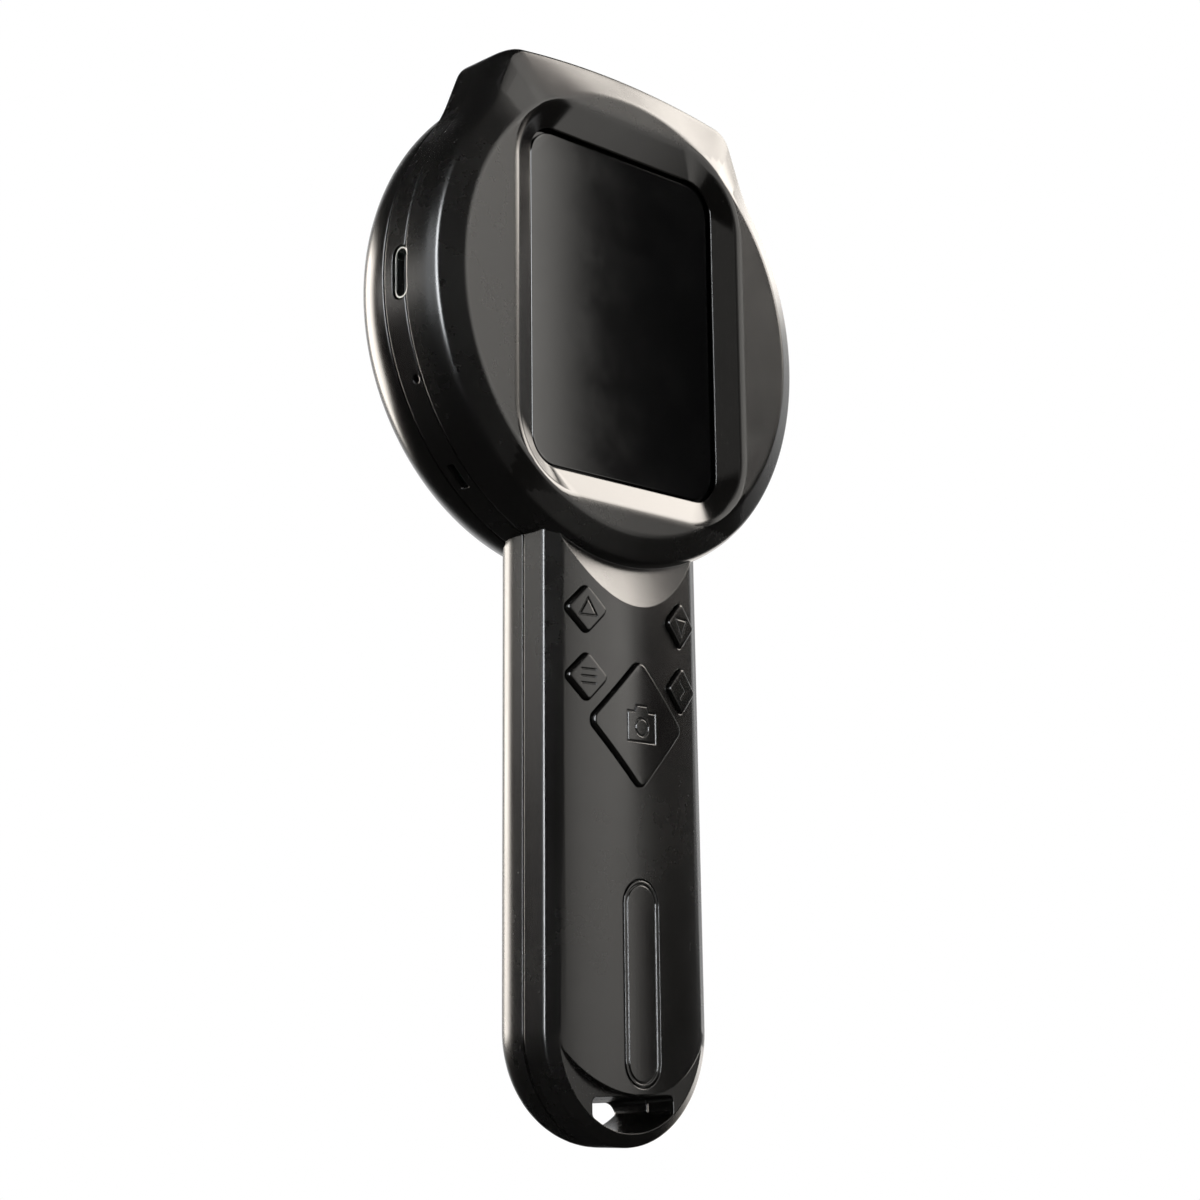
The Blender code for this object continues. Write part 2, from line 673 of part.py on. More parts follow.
def finish(obj, colour, roughness, metallic=0.0, origin=(0.0, 0.0, 0.0)):
    """Gives a piece its material, its origin and its place in the head's frame."""
    material = bpy.data.materials.new(obj.name)
    material.use_nodes = True
    shader = material.node_tree.nodes["Principled BSDF"]
    shader.inputs["Base Color"].default_value = (*colour, 1.0)
    shader.inputs["Roughness"].default_value = roughness
    shader.inputs["Metallic"].default_value = metallic
    obj.data.materials.clear()
    obj.data.materials.append(material)
    merge_flat_faces(obj)
    obj.data.transform(Matrix.Translation(-Vector(origin)))
    obj.data.shade_smooth()
    obj.data.set_sharp_from_angle(angle=math.radians(SMOOTH_ANGLE))
    obj.location = origin
    obj.parent = bpy.data.objects["head_frame"]
    return obj


BLACK_PLASTIC = (0.020, 0.019, 0.018)
DARK_PLASTIC = (0.012, 0.012, 0.013)
BOARD_GREEN = (0.010, 0.110, 0.055)
CHIP_BLACK = (0.015, 0.015, 0.016)
TINNED_STEEL = (0.62, 0.62, 0.60)
CLEAR_GLASS = (0.55, 0.60, 0.62)
FLEX_AMBER = (0.45, 0.22, 0.04)


def crown_block(offset):
    """Everything behind the handle's crowned front, sunk by an offset along its normal."""
    radius = CROWN_RADIUS - offset
    reach = HANDLE_HALF_WIDTH + OVERRUN
    swing = math.degrees(math.asin(reach / radius))
    front = arc((0, 0), radius, 90 + swing, 90 - swing, CROWN_STEPS)
    middle = CROWN_DEPTH + CROWN_RADIUS
    back = HANDLE_DEPTH + OVERRUN
    outline = [(across, middle - rise) for across, rise in front] + [(reach, back), (-reach, back)]
    ends = (END_HEIGHT - OVERRUN, -HEAD_RADIUS + HANDLE_WALL + NECK_RUN_IN + OVERRUN)
    return loft("crown", [[(x, y, end) for x, y in outline] for end in ends])


def scoop_cutter(offset):
    """What the scoop under the head takes out of the handle, sunk by an offset."""
    radius = SCOOP_RADIUS + offset
    reach = HANDLE_HALF_WIDTH + OVERRUN
    swing = math.degrees(math.asin(reach / radius))
    floor = arc((0, 0), radius, 90 + swing, 90 - swing, CROWN_STEPS)
    front = -HANDLE_WALL - CHAMFER_DEPTH
    outline = [(across, rise - radius + offset) for across, rise in floor]
    outline += [(reach, front), (-reach, front)]
    ends = (-SCOOP_DROP, SCOOP_LENGTH)
    cutter = loft("scoop", [[(x, y, end) for x, y in outline] for end in ends])
    slope = Matrix.Rotation(-math.radians(SCOOP_SLOPE), 4, "X")
    return moved(cutter, Matrix.Translation((0, CROWN_DEPTH, below_neck(SCOOP_DROP))) @ slope)


def step_cutter(offset):
    """What the step at the handle's end takes out, sunk by an offset."""
    centre = END_HEIGHT + STEP_RISE + STEP_RADIUS
    reach = HANDLE_HALF_WIDTH + OVERRUN
    radius = STEP_RADIUS - offset
    swing = math.degrees(math.asin(min(reach / radius, 1.0)))
    outline = arc((0, centre), radius, -90 - swing, -90 + swing, CROWN_STEPS)
    low = END_HEIGHT - OVERRUN
    outline += [(outline[-1][0], low), (outline[0][0], low)]
    return prism("step", outline, -OVERRUN, STEP_DEPTH + offset)


def slot_prism(margin, start, end):
    return loft("slot", [layer(slot_outline_at(margin, depth), depth) for depth in (start, end)])


def head_screw_places():
    return [polar(HEAD_SCREW_CIRCLE, bearing) for bearing in HEAD_SCREW_BEARINGS]


def handle_screw_places():
    return [(side * END_SCREW_ACROSS, END_HEIGHT + END_SCREW_RISE) for side in (-1, 1)]


def bracket_stake_places():
    return [(side * BRACKET_EAR_ACROSS, rise * BRACKET_EAR_HEIGHT) for side in (-1, 1) for rise in (-1, 1)]


def keypad_stake_places():
    low = below_neck(KEYPAD_STAKE_LOW_DROP)
    return [
        (0.0, below_neck(KEYPAD_STAKE_DROP)),
        (-KEYPAD_STAKE_ACROSS, low),
        (KEYPAD_STAKE_ACROSS, low),
    ]


def keys():
    """Each key's name, centre, half diagonal and corner radius."""
    upper, lower = below_neck(UPPER_KEY_DROP), below_neck(LOWER_KEY_DROP)
    found = []
    for row, height in (("upper", upper), ("lower", lower)):
        for side, across in (("left", -KEY_ACROSS), ("right", KEY_ACROSS)):
            found.append((f"{row}_{side}", (across, height), KEY_HALF_DIAGONAL, KEY_CORNER_RADIUS))
    capture = (0.0, below_neck(CAPTURE_DROP))
    found.append(("capture", capture, CAPTURE_HALF_DIAGONAL, CAPTURE_CORNER_RADIUS))
    return found


def grown_diamond(centre, half_diagonal, radius, margin):
    return diamond(half_diagonal + margin * math.sqrt(2), radius + margin, centre)


def pill_outline(margin):
    half_length = INLAY_LENGTH / 2 + margin
    half_width = INLAY_HALF_WIDTH + margin
    middle = END_HEIGHT + INLAY_RISE + INLAY_LENGTH / 2
    tip = half_length - half_width
    half = arc((0, middle - tip), half_width, -90, 0, ROUNDING_STEPS)
    half += arc((0, middle + tip), half_width, 0, 90, ROUNDING_STEPS)
    return mirrored(half)


def usb_outline(margin):
    """The receptacle's round-ended outline, as (depth, height) points."""
    half_width = USB_WIDTH / 2 + margin
    half_thickness = USB_THICKNESS / 2 + margin
    tip = half_width - half_thickness
    right = arc((0, 0), half_thickness, 0, 180, ROUNDING_STEPS)
    left = arc((0, 0), half_thickness, 180, 360, ROUNDING_STEPS)
    points = [(across, height + tip) for across, height in right]
    points += [(across, height - tip) for across, height in left]
    return [(BOARD_MIDDLE + across, height) for across, height in points]


def usb_bar(name, margin, start, end):
    """A bar of the receptacle's outline along +X."""
    outline = usb_outline(margin)
    return loft(name, [[(x, depth, height) for depth, height in outline] for x in (start, end)])


def usb_cutter():
    inner_end = HEAD_RADIUS - USB_SETBACK - USB_LENGTH - FIT_GAP
    return at_bearing(usb_bar("usb_way", FIT_GAP, inner_end, HEAD_RADIUS + OVERRUN), USB_BEARING)


def card_cutter():
    middle = MAIN_BOARD_DEPTH - FIT_GAP - CARD_SOCKET_HEIGHT / 2
    half = CARD_SLOT_WIDTH / 2
    low = (HEAD_RADIUS - HEAD_WALL - OVERRUN, middle - CARD_SLOT_THICKNESS / 2, -half)
    high = (HEAD_RADIUS + OVERRUN, middle + CARD_SLOT_THICKNESS / 2, half)
    return at_bearing(block("card_way", low, high), CARD_BEARING)


def head_front_rings():
    edge = head_outline(RING_EDGE_INSET)
    disc = [polar(DISC_RADIUS, math.degrees(math.atan2(height, across))) for across, height in edge]
    rings = [layer(disc, 0.0), layer(edge, RING_EDGE_DEPTH)]
    for step in range(1, SHOULDER_STEPS + 1):
        turn = math.radians(90 * step / SHOULDER_STEPS)
        inset = RING_EDGE_INSET * (1 - math.sin(turn))
        depth = RING_EDGE_DEPTH + (SHOULDER_DEPTH - RING_EDGE_DEPTH) * (1 - math.cos(turn))
        rings.append(layer(head_outline(inset), depth))
    rings.append(layer(head_outline(0.0), FRONT_END))
    return rings


def handle_front():
    """The handle's front half: a chamfered block behind the crown, less the scoop and the step."""
    slope = CHAMFER_RISE / CHAMFER_WIDTH
    deep_inset = CHAMFER_DEPTH / slope + CHAMFER_WIDTH
    handle = loft("handle_front", [
        layer(handle_outline(deep_inset, NECK_TOP), CHAMFER_DEPTH - slope * deep_inset),
        layer(handle_outline(0.0, NECK_TOP), CHAMFER_DEPTH),
        layer(handle_outline(0.0, NECK_TOP), FRONT_END),
    ])
    keep_inside(handle, crown_block(0.0))
    cut(handle, scoop_cutter(0.0), step_cutter(0.0))
    return handle


def surround_outline():
    return rounded_box(
        OPENING_HALF_WIDTH + SURROUND_WALL,
        OPENING_HALF_HEIGHT + SURROUND_WALL,
        OPENING_CORNER_RADIUS + SURROUND_WALL,
        OPENING_CORNER_STEPS,
    )


def window_outline(margin):
    return rounded_box(
        FOOT_HALF_WIDTH + WINDOW_MARGIN + margin,
        FOOT_HALF_HEIGHT + WINDOW_MARGIN + margin,
        WINDOW_CORNER_RADIUS + margin,
        CORNER_STEPS,
    )


def recess_cutter():
    """The sloped recess, run out past the front plane and on through the lip."""
    run_out = OVERRUN / RECESS_DEPTH * RECESS_SLOPE_WIDTH
    mouth = rounded_box(
        OPENING_HALF_WIDTH + run_out,
        OPENING_HALF_HEIGHT + run_out,
        OPENING_CORNER_RADIUS + run_out,
        OPENING_CORNER_STEPS,
    )
    foot = rounded_box(FOOT_HALF_WIDTH, FOOT_HALF_HEIGHT, RECESS_FOOT_RADIUS, OPENING_CORNER_STEPS)
    through = SURROUND_BACK + WINDOW_DEPTH + OVERRUN
    return loft("recess", [layer(mouth, -OVERRUN), layer(foot, RECESS_DEPTH), layer(foot, through)])


def head_front_cavity():
    cavity = prism("cavity", head_outline(HEAD_WALL), HEAD_WALL, FRONT_END + OVERRUN)
    cut(cavity, prism("surround", surround_outline(), 0.0, WINDOW_DEPTH + SURROUND_BACK))
    return cavity


def handle_front_cavity():
    """The handle's hollow, less what stays standing: casing of the slot and screw bosses."""
    top = NECK_TOP + HANDLE_WALL
    past = FRONT_END + OVERRUN * 2
    cavity = prism("cavity", handle_outline(HANDLE_WALL, top), 0.0, FRONT_END + OVERRUN)
    keep_inside(cavity, crown_block(HANDLE_WALL))
    cores = [scoop_cutter(HANDLE_WALL), step_cutter(HANDLE_WALL), slot_prism(SLOT_CASING, 0.0, past)]
    cores += [post("core", HANDLE_BOSS_RADIUS, place, 0.0, past) for place in handle_screw_places()]
    cut(cavity, *cores)
    return cavity


def stake(radius, place, start, sheet_front, sheet_back):
    """A post whose tip goes through a sheet and is melted to a cap behind it."""
    seat = sheet_front - FIT_GAP
    cap_start = sheet_back + FIT_GAP
    cap_end = cap_start + STAKE_CAP_HEIGHT
    rows = [(radius, start), (radius, seat), (STAKE_RADIUS, seat), (STAKE_RADIUS, cap_start)]
    rows += [(STAKE_CAP_RADIUS, cap_start), (STAKE_CAP_RADIUS, cap_end)]
    return stepped_post("stake", place, rows, ROD_STEPS)


def key_ways():
    ways = []
    for _, centre, half_diagonal, radius in keys():
        outline = grown_diamond(centre, half_diagonal, radius, FIT_GAP)
        through = crown_depth(abs(centre[0]) + half_diagonal) + HANDLE_WALL + OVERRUN
        ways.append(prism("key_way", outline, -OVERRUN, through))
    return ways


def build_front_shell():
    """The front half of the housing: head and handle made one, hollowed, pierced and given its posts."""
    shell = loft("front_shell", head_front_rings())
    unite(shell, handle_front())
    board_seat = MAIN_BOARD_DEPTH - FIT_GAP
    pocket_floor = CROWN_DEPTH + INLAY_THICKNESS + FIT_GAP
    hollows = [head_front_cavity(), handle_front_cavity(), recess_cutter(), usb_cutter(), card_cutter()]
    hollows.append(prism("pocket", window_outline(FIT_GAP), WINDOW_DEPTH - FIT_GAP, FRONT_END))
    hollows.append(slot_prism(0.0, -OVERRUN, FRONT_END + OVERRUN))
    hollows.append(prism("inlay_pocket", pill_outline(FIT_GAP), -OVERRUN, pocket_floor))
    cut(shell, *hollows, *key_ways())
    standing = [post("boss", BOSS_RADIUS, place, HEAD_WALL / 2, board_seat) for place in head_screw_places()]
    for place in bracket_stake_places():
        standing.append(stake(BRACKET_EAR_RADIUS, place, HEAD_WALL / 2, BRACKET_DEPTH, BRACKET_BACK))
    for place in keypad_stake_places():
        start = crown_depth(place[0]) + HANDLE_WALL / 2
        standing.append(stake(BOSS_RADIUS, place, start, KEYPAD_DEPTH, KEYPAD_BACK))
    unite(shell, *standing)
    pilots = [
        post("pilot", PILOT_RADIUS, place, board_seat - PILOT_DEPTH, board_seat + OVERRUN, SMALL_ROD_STEPS)
        for place in head_screw_places()
    ]
    pilots += [
        post("pilot", PILOT_RADIUS, place, FRONT_END - PILOT_DEPTH, FRONT_END + OVERRUN, SMALL_ROD_STEPS)
        for place in handle_screw_places()
    ]
    cut(shell, *pilots)
    return finish(shell, BLACK_PLASTIC, 0.32)


def rounding_rows(inset_by, depth_by, steps):
    """(inset, depth) pairs of a quarter turn from a side wall to a back."""
    rows = []
    for step in range(steps + 1):
        turn = math.radians(90 * step / steps)
        rows.append((inset_by * (1 - math.cos(turn)), depth_by * math.sin(turn)))
    return rows


def handle_rear_solid(inset, start, top):
    """The handle's back half, or its hollow when drawn in by the wall."""
    rings = [layer(handle_outline(inset, top), start)]
    rounding = BACK_ROUNDING - inset
    for drawn, depth in rounding_rows(rounding, rounding, ROUNDING_STEPS):
        rings.append(layer(handle_outline(inset + drawn, top), SIDE_DEPTH + depth))
    return loft("handle_rear", rings)


def handle_rear_cavity():
    past = HANDLE_DEPTH + OVERRUN
    start = REAR_START - OVERRUN * 2
    cavity = handle_rear_solid(HANDLE_WALL, REAR_START - OVERRUN, NECK_TOP + HANDLE_WALL)
    room = HEAD_RADIUS + HANDLE_WALL + FIT_GAP
    cores = [post("core", room, (0.0, 0.0), FLANGE_DEPTH + FIT_GAP, past, TURNED_STEPS)]
    cores.append(slot_prism(SLOT_CASING, start, past))
    cores += [post("core", HANDLE_BOSS_RADIUS, place, start, past) for place in handle_screw_places()]
    cut(cavity, *cores)
    return cavity


def screw_ways():
    """Clearance holes and counterbores of the screws that close the housing."""
    ways = []
    head_floor = REAR_END - SCREW_HEAD_HEIGHT - FIT_GAP
    groups = [(place, head_floor, REAR_END) for place in head_screw_places()]
    groups += [(place, REAR_START + HANDLE_SCREW_FLOOR, HANDLE_DEPTH) for place in handle_screw_places()]
    for place, floor, end in groups:
        rows = [(CLEARANCE_RADIUS, REAR_START - OVERRUN), (CLEARANCE_RADIUS, floor)]
        rows += [(COUNTERBORE_RADIUS, floor), (COUNTERBORE_RADIUS, end + OVERRUN)]
        ways.append(stepped_post("way", place, rows, ROD_STEPS))
    return ways


def side_ways():
    """The reset pinhole and the status light's slot in the side wall."""
    wall_in = HEAD_RADIUS - HEAD_WALL - OVERRUN
    wall_out = HEAD_RADIUS + OVERRUN
    pinhole = rod("pinhole", RESET_HOLE_RADIUS, (wall_in, BOARD_MIDDLE, 0), (wall_out, BOARD_MIDDLE, 0),
                  SMALL_ROD_STEPS)
    half = Vector((STATUS_THICKNESS, STATUS_WIDTH)) / 2
    light_way = block("light_way", (wall_in, STATUS_DEPTH - half.x, -half.y),
                      (wall_out, STATUS_DEPTH + half.x, half.y))
    return [at_bearing(pinhole, RESET_BEARING), at_bearing(light_way, STATUS_BEARING)]


def build_rear_shell():
    """The rear half of the housing: the head's wall with its flange, and the handle's back."""
    past = HANDLE_DEPTH + OVERRUN
    shell = prism("rear_shell", head_outline(0.0), REAR_START, REAR_END)
    handle = handle_rear_solid(0.0, REAR_START, NECK_TOP)
    cut(handle, post("cover_room", HEAD_RADIUS + FIT_GAP, (0.0, 0.0), REAR_END, past, TURNED_STEPS))
    unite(shell, handle)
    hollows = [prism("cavity", head_outline(HEAD_WALL), REAR_START - OVERRUN, FLANGE_DEPTH)]
    hollows.append(post("hole", FLANGE_RADIUS, (0.0, 0.0), REAR_START, REAR_END + OVERRUN, TURNED_STEPS))
    hollows += [handle_rear_cavity(), slot_prism(0.0, REAR_START - OVERRUN, past)]
    hollows += [usb_cutter(), card_cutter(), *side_ways()]
    cut(shell, *hollows)
    boss_end = FLANGE_DEPTH + FLANGE_THICKNESS / 2
    bosses = [
        post("boss", BOSS_RADIUS, place, MAIN_BOARD_BACK + FIT_GAP, boss_end)
        for place in head_screw_places()
    ]
    unite(shell, *bosses)
    cut(shell, *screw_ways())
    return finish(shell, BLACK_PLASTIC, 0.32)


def build_rear_cover():
    """The domed cover with the spigot that clips behind the rear shell's flange."""
    centre = HEAD_RADIUS - COVER_ROUNDING
    side_end = COVER_START + COVER_SIDE
    hole = HOOD_RADIUS + FIT_GAP
    spigot_out = FLANGE_RADIUS - FIT_GAP
    spigot_in = spigot_out - SPIGOT_THICKNESS
    bead_back = FLANGE_DEPTH - FIT_GAP
    bead_front = bead_back - SPIGOT_BEAD_WIDTH
    inner = COVER_ROUNDING - COVER_WALL
    profile = [(HEAD_RADIUS, COVER_START)]
    for drawn, depth in rounding_rows(COVER_ROUNDING, COVER_ROUNDING, ROUNDING_STEPS + 2):
        profile.append((HEAD_RADIUS - drawn, side_end + depth))
    profile += [(hole, COVER_END), (hole, COVER_END - COVER_WALL)]
    profile += [(radius, inner_cover_depth(radius)) for radius in (centre, spigot_in)]
    profile += [(spigot_in, bead_front), (spigot_out, bead_front), (spigot_out + SPIGOT_BEAD, bead_front)]
    profile += [(spigot_out + SPIGOT_BEAD, bead_back), (spigot_out, bead_back)]
    profile.append((spigot_out, inner_cover_depth(spigot_out)))
    start = math.degrees(math.acos((spigot_out - centre) / inner))
    for step in range(1, CORNER_STEPS + 1):
        across, depth = polar(inner, start * (1 - step / CORNER_STEPS))
        profile.append((centre + across, side_end + depth))
    profile.append((HEAD_RADIUS - COVER_WALL, COVER_START))
    return finish(turned("rear_cover", profile), BLACK_PLASTIC, 0.30)


def inner_cover_depth(radius):
    centre = HEAD_RADIUS - COVER_ROUNDING
    inner = COVER_ROUNDING - COVER_WALL
    return COVER_START + COVER_SIDE + math.sqrt(inner**2 - (radius - centre) ** 2)


def build_inlay():
    inlay = prism("handle_inlay", pill_outline(0.0), -OVERRUN, CROWN_DEPTH + INLAY_THICKNESS)
    keep_inside(inlay, crown_block(0.0))
    return finish(inlay, DARK_PLASTIC, 0.24)


def build_screen():
    window = prism("display_window", window_outline(0.0), WINDOW_DEPTH, WINDOW_DEPTH + WINDOW_THICKNESS)
    finish(window, (0.02, 0.02, 0.022), 0.06)
    gasket = prism("window_gasket", window_outline(0.0), GASKET_DEPTH, GASKET_DEPTH + GASKET_THICKNESS)
    hole = rounded_box(
        FOOT_HALF_WIDTH + WINDOW_MARGIN - GASKET_WIDTH,
        FOOT_HALF_HEIGHT + WINDOW_MARGIN - GASKET_WIDTH,
        WINDOW_CORNER_RADIUS - GASKET_WIDTH,
        CORNER_STEPS,
    )
    cut(gasket, prism("hole", hole, GASKET_DEPTH - OVERRUN, GASKET_DEPTH + OVERRUN))
    finish(gasket, (0.03, 0.03, 0.03), 0.9)
    panel = rounded_box(
        FOOT_HALF_WIDTH + LCD_MARGIN, FOOT_HALF_HEIGHT + LCD_MARGIN, PANEL_CORNER_RADIUS, CORNER_STEPS
    )
    finish(prism("lcd_panel", panel, LCD_DEPTH, LCD_DEPTH + LCD_THICKNESS), (0.03, 0.035, 0.04), 0.15)
    light = prism("lcd_backlight", panel, BACKLIGHT_DEPTH, BACKLIGHT_DEPTH + BACKLIGHT_THICKNESS)
    finish(light, (0.75, 0.75, 0.72), 0.5)


def build_bracket():
    """The sheet that holds the screen, with four ears on the front shell's posts."""
    half_width = FOOT_HALF_WIDTH + BRACKET_MARGIN
    half_height = FOOT_HALF_HEIGHT + BRACKET_MARGIN
    half = [(0.0, -half_height), (half_width, -half_height)]
    for rise in (-BRACKET_EAR_HEIGHT, BRACKET_EAR_HEIGHT):
        half.append((half_width, rise - BRACKET_EAR_RADIUS))
        half += arc((BRACKET_EAR_ACROSS, rise), BRACKET_EAR_RADIUS, -90, 90, ROUNDING_STEPS)
        half.append((half_width, rise + BRACKET_EAR_RADIUS))
    half += [(half_width, half_height), (0.0, half_height)]
    bracket = prism("lcd_bracket", mirrored(half), BRACKET_DEPTH, BRACKET_BACK)
    for place in bracket_stake_places():
        cut(bracket, post("hole", CLEARANCE_RADIUS, place, BRACKET_DEPTH - OVERRUN,
                          BRACKET_BACK + OVERRUN, SMALL_ROD_STEPS))
    return finish(bracket, TINNED_STEEL, 0.35, 1.0)


def build_main_board():
    board = post("main_board", MAIN_BOARD_RADIUS, (0.0, 0.0), MAIN_BOARD_DEPTH, MAIN_BOARD_BACK,
                 TURNED_STEPS)
    low, high = MAIN_BOARD_DEPTH - OVERRUN, MAIN_BOARD_BACK + OVERRUN
    for place in head_screw_places():
        cut(board, post("hole", CLEARANCE_RADIUS, place, low, high, SMALL_ROD_STEPS))
    for side in (-1, 1):
        place = (side * MOUNT_SCREW_ACROSS, 0.0)
        cut(board, post("hole", CLEARANCE_RADIUS, place, low, high, SMALL_ROD_STEPS))
    rim = MAIN_BOARD_RADIUS + OVERRUN
    usb_in = HEAD_RADIUS - USB_SETBACK - USB_LENGTH - FIT_GAP
    usb_half = USB_WIDTH / 2 + FIT_GAP
    usb_notch = block("notch", (usb_in, low, -usb_half), (rim, high, usb_half))
    reset_in = reset_body_start() - FIT_GAP
    reset_half = RESET_BODY_WIDTH / 2 + FIT_GAP
    reset_notch = block("notch", (reset_in, low, -reset_half), (rim, high, reset_half))
    cut(board, at_bearing(usb_notch, USB_BEARING), at_bearing(reset_notch, RESET_BEARING))
    return finish(board, BOARD_GREEN, 0.45)


def chip(name, width, height, place):
    low = (place[0] - width / 2, CHIP_DEPTH, place[1] - height / 2)
    high = (place[0] + width / 2, CHIP_DEPTH + CHIP_HEIGHT, place[1] + height / 2)
    return finish(block(name, low, high), CHIP_BLACK, 0.4)


def build_chips():
    chip("main_processor", PROCESSOR_SIDE, PROCESSOR_SIDE, (PROCESSOR_ACROSS, CHIP_RISE))
    chip("memory_chip", MEMORY_WIDTH, MEMORY_HEIGHT, (MEMORY_ACROSS, CHIP_RISE))
    chip("image_sensor", SENSOR_SIDE, SENSOR_SIDE, (0.0, 0.0))


def build_usb():
    mouth = HEAD_RADIUS - USB_SETBACK
    back = mouth - USB_LENGTH
    shell = usb_bar("usb_shell", 0.0, back, mouth)
    cut(shell, usb_bar("hollow", -USB_SHEET, back + USB_SHEET, mouth + OVERRUN))
    finish(at_bearing(shell, USB_BEARING), TINNED_STEEL, 0.25, 1.0)
    base_start = back + USB_SHEET + FIT_GAP
    base_end = base_start + USB_BASE_LENGTH
    base = usb_bar("usb_tongue", -USB_SHEET - FIT_GAP, base_start, base_end)
    half_thickness = USB_TONGUE_THICKNESS / 2
    blade = block("blade", (base_end - USB_BASE_LENGTH / 2, BOARD_MIDDLE - half_thickness,
                            -USB_TONGUE_WIDTH / 2),
                  (base_end + USB_TONGUE_LENGTH, BOARD_MIDDLE + half_thickness, USB_TONGUE_WIDTH / 2))
    unite(base, blade)
    finish(at_bearing(base, USB_BEARING), DARK_PLASTIC, 0.5)


def build_card_socket():
    """The memory card's socket, open towards the slot in the right wall."""
    back = MAIN_BOARD_DEPTH - FIT_GAP
    front = back - CARD_SOCKET_HEIGHT
    mouth = HEAD_RADIUS - HEAD_WALL - FIT_GAP - CARD_SOCKET_SHEET
    reach = math.sqrt(mouth**2 - (CARD_SOCKET_WIDTH / 2) ** 2)
    start = reach - CARD_SOCKET_LENGTH
    half = CARD_SOCKET_WIDTH / 2
    socket = block("card_socket", (start, front, -half), (reach, back, half))
    sheet = CARD_SOCKET_SHEET
    cut(socket, block("hollow", (start + sheet, front + sheet, sheet - half),
                      (reach + OVERRUN, back - sheet, half - sheet)))
    return finish(at_bearing(socket, CARD_BEARING), TINNED_STEEL, 0.3, 1.0)


def reset_body_start():
    """The inner end of the reset switch, from the head's axis."""
    inner_wall = HEAD_RADIUS - HEAD_WALL
    return inner_wall - OVERRUN - RESET_PLUNGER_PROUD / 2 - RESET_BODY_LENGTH


def build_reset():
    start = reset_body_start()
    end = start + RESET_BODY_LENGTH
    half = Vector((RESET_BODY_HEIGHT, RESET_BODY_WIDTH)) / 2
    body = block("reset_switch", (start, BOARD_MIDDLE - half.x, -half.y),
                 (end, BOARD_MIDDLE + half.x, half.y))
    bore = rod("bore", RESET_PLUNGER_RADIUS + FIT_GAP, (end - RESET_BORE_DEPTH, BOARD_MIDDLE, 0),
               (end + OVERRUN, BOARD_MIDDLE, 0), SMALL_ROD_STEPS)
    cut(body, bore)
    finish(at_bearing(body, RESET_BEARING), (0.05, 0.05, 0.05), 0.4)
    plunger = rod("reset_plunger", RESET_PLUNGER_RADIUS, (0, 0, 0),
                  (RESET_ENGAGEMENT + RESET_PLUNGER_PROUD, 0, 0), SMALL_ROD_STEPS)
    across, height = polar(end - RESET_ENGAGEMENT, RESET_BEARING)
    finish(at_bearing(plunger, RESET_BEARING), (0.6, 0.6, 0.58), 0.4,
           origin=(0.0, 0.0, 0.0)).location = (across, BOARD_MIDDLE, height)


def build_status_light():
    inner = MAIN_BOARD_RADIUS + FIT_GAP
    outer = HEAD_RADIUS - STATUS_SETBACK
    half = Vector((STATUS_THICKNESS, STATUS_WIDTH)) / 2 - Vector((FIT_GAP, FIT_GAP))
    lens = block("indicator_lens", (inner, STATUS_DEPTH - half.x, -half.y),
                 (outer, STATUS_DEPTH + half.x, half.y))
    finish(at_bearing(lens, STATUS_BEARING), CLEAR_GLASS, 0.15)
    led_half = STATUS_LED_SIDE / 2
    outer = MAIN_BOARD_RADIUS - FIT_GAP
    led = block("status_led", (outer - STATUS_LED_SIDE, CHIP_DEPTH, -led_half),
                (outer, CHIP_DEPTH + STATUS_LED_HEIGHT, led_half))
    finish(at_bearing(led, STATUS_BEARING), (0.85, 0.85, 0.8), 0.3)


def build_keys():
    """Each key: a diamond cap that follows the crown, a flange behind the wall and a stem."""
    for name, centre, half_diagonal, radius in keys():
        seat = crown_depth(centre[0])
        wall_back = HANDLE_WALL + FIT_GAP
        stem_end = PLUNGER_DEPTH - FIT_GAP
        cap = prism(f"key_{name}", diamond(half_diagonal, radius, centre), -OVERRUN - KEY_PROUD, stem_end)
        keep_inside(cap, crown_block(-KEY_PROUD))
        cut(cap, crown_block(wall_back + KEY_FLANGE_THICKNESS / 2))
        flange_outline = grown_diamond(centre, half_diagonal, radius, KEY_FLANGE_MARGIN)
        flange = prism("flange", flange_outline, 0.0, stem_end + OVERRUN)
        keep_inside(flange, crown_block(wall_back))
        cut(flange, crown_block(wall_back + KEY_FLANGE_THICKNESS))
        unite(cap, flange)
        unite(cap, post("stem", KEY_STEM_RADIUS, centre, seat + HANDLE_WALL, stem_end))
        bevel = cap.modifiers.new("edge", "BEVEL")
        bevel.width = KEY_EDGE_BEVEL
        bevel.segments = 1
        bevel.limit_method = "WEIGHT"
        weigh_front_edges(cap)
        bake(cap)
        finish(cap, BLACK_PLASTIC, 0.28, origin=(centre[0], seat - KEY_PROUD, centre[1]))


def weigh_front_edges(cap):
    """Marks the rim of a key's face, which stands ahead of the crown, for its bevel."""
    mesh = cap.data
    weights = mesh.attributes.new("bevel_weight_edge", "FLOAT", "EDGE")
    leans = {}
    for face in mesh.polygons:
        for key in face.edge_keys:
            leans.setdefault(key, []).append(abs(face.normal.y) > abs(face.normal.x) + abs(face.normal.z))
    for edge in mesh.edges:
        ends = [mesh.vertices[vert].co for vert in edge.vertices]
        ahead = all(end.y < crown_depth(end.x) for end in ends)
        if ahead and len(set(leans[tuple(sorted(edge.vertices))])) > 1:
            weights.data[edge.index].value = 1.0


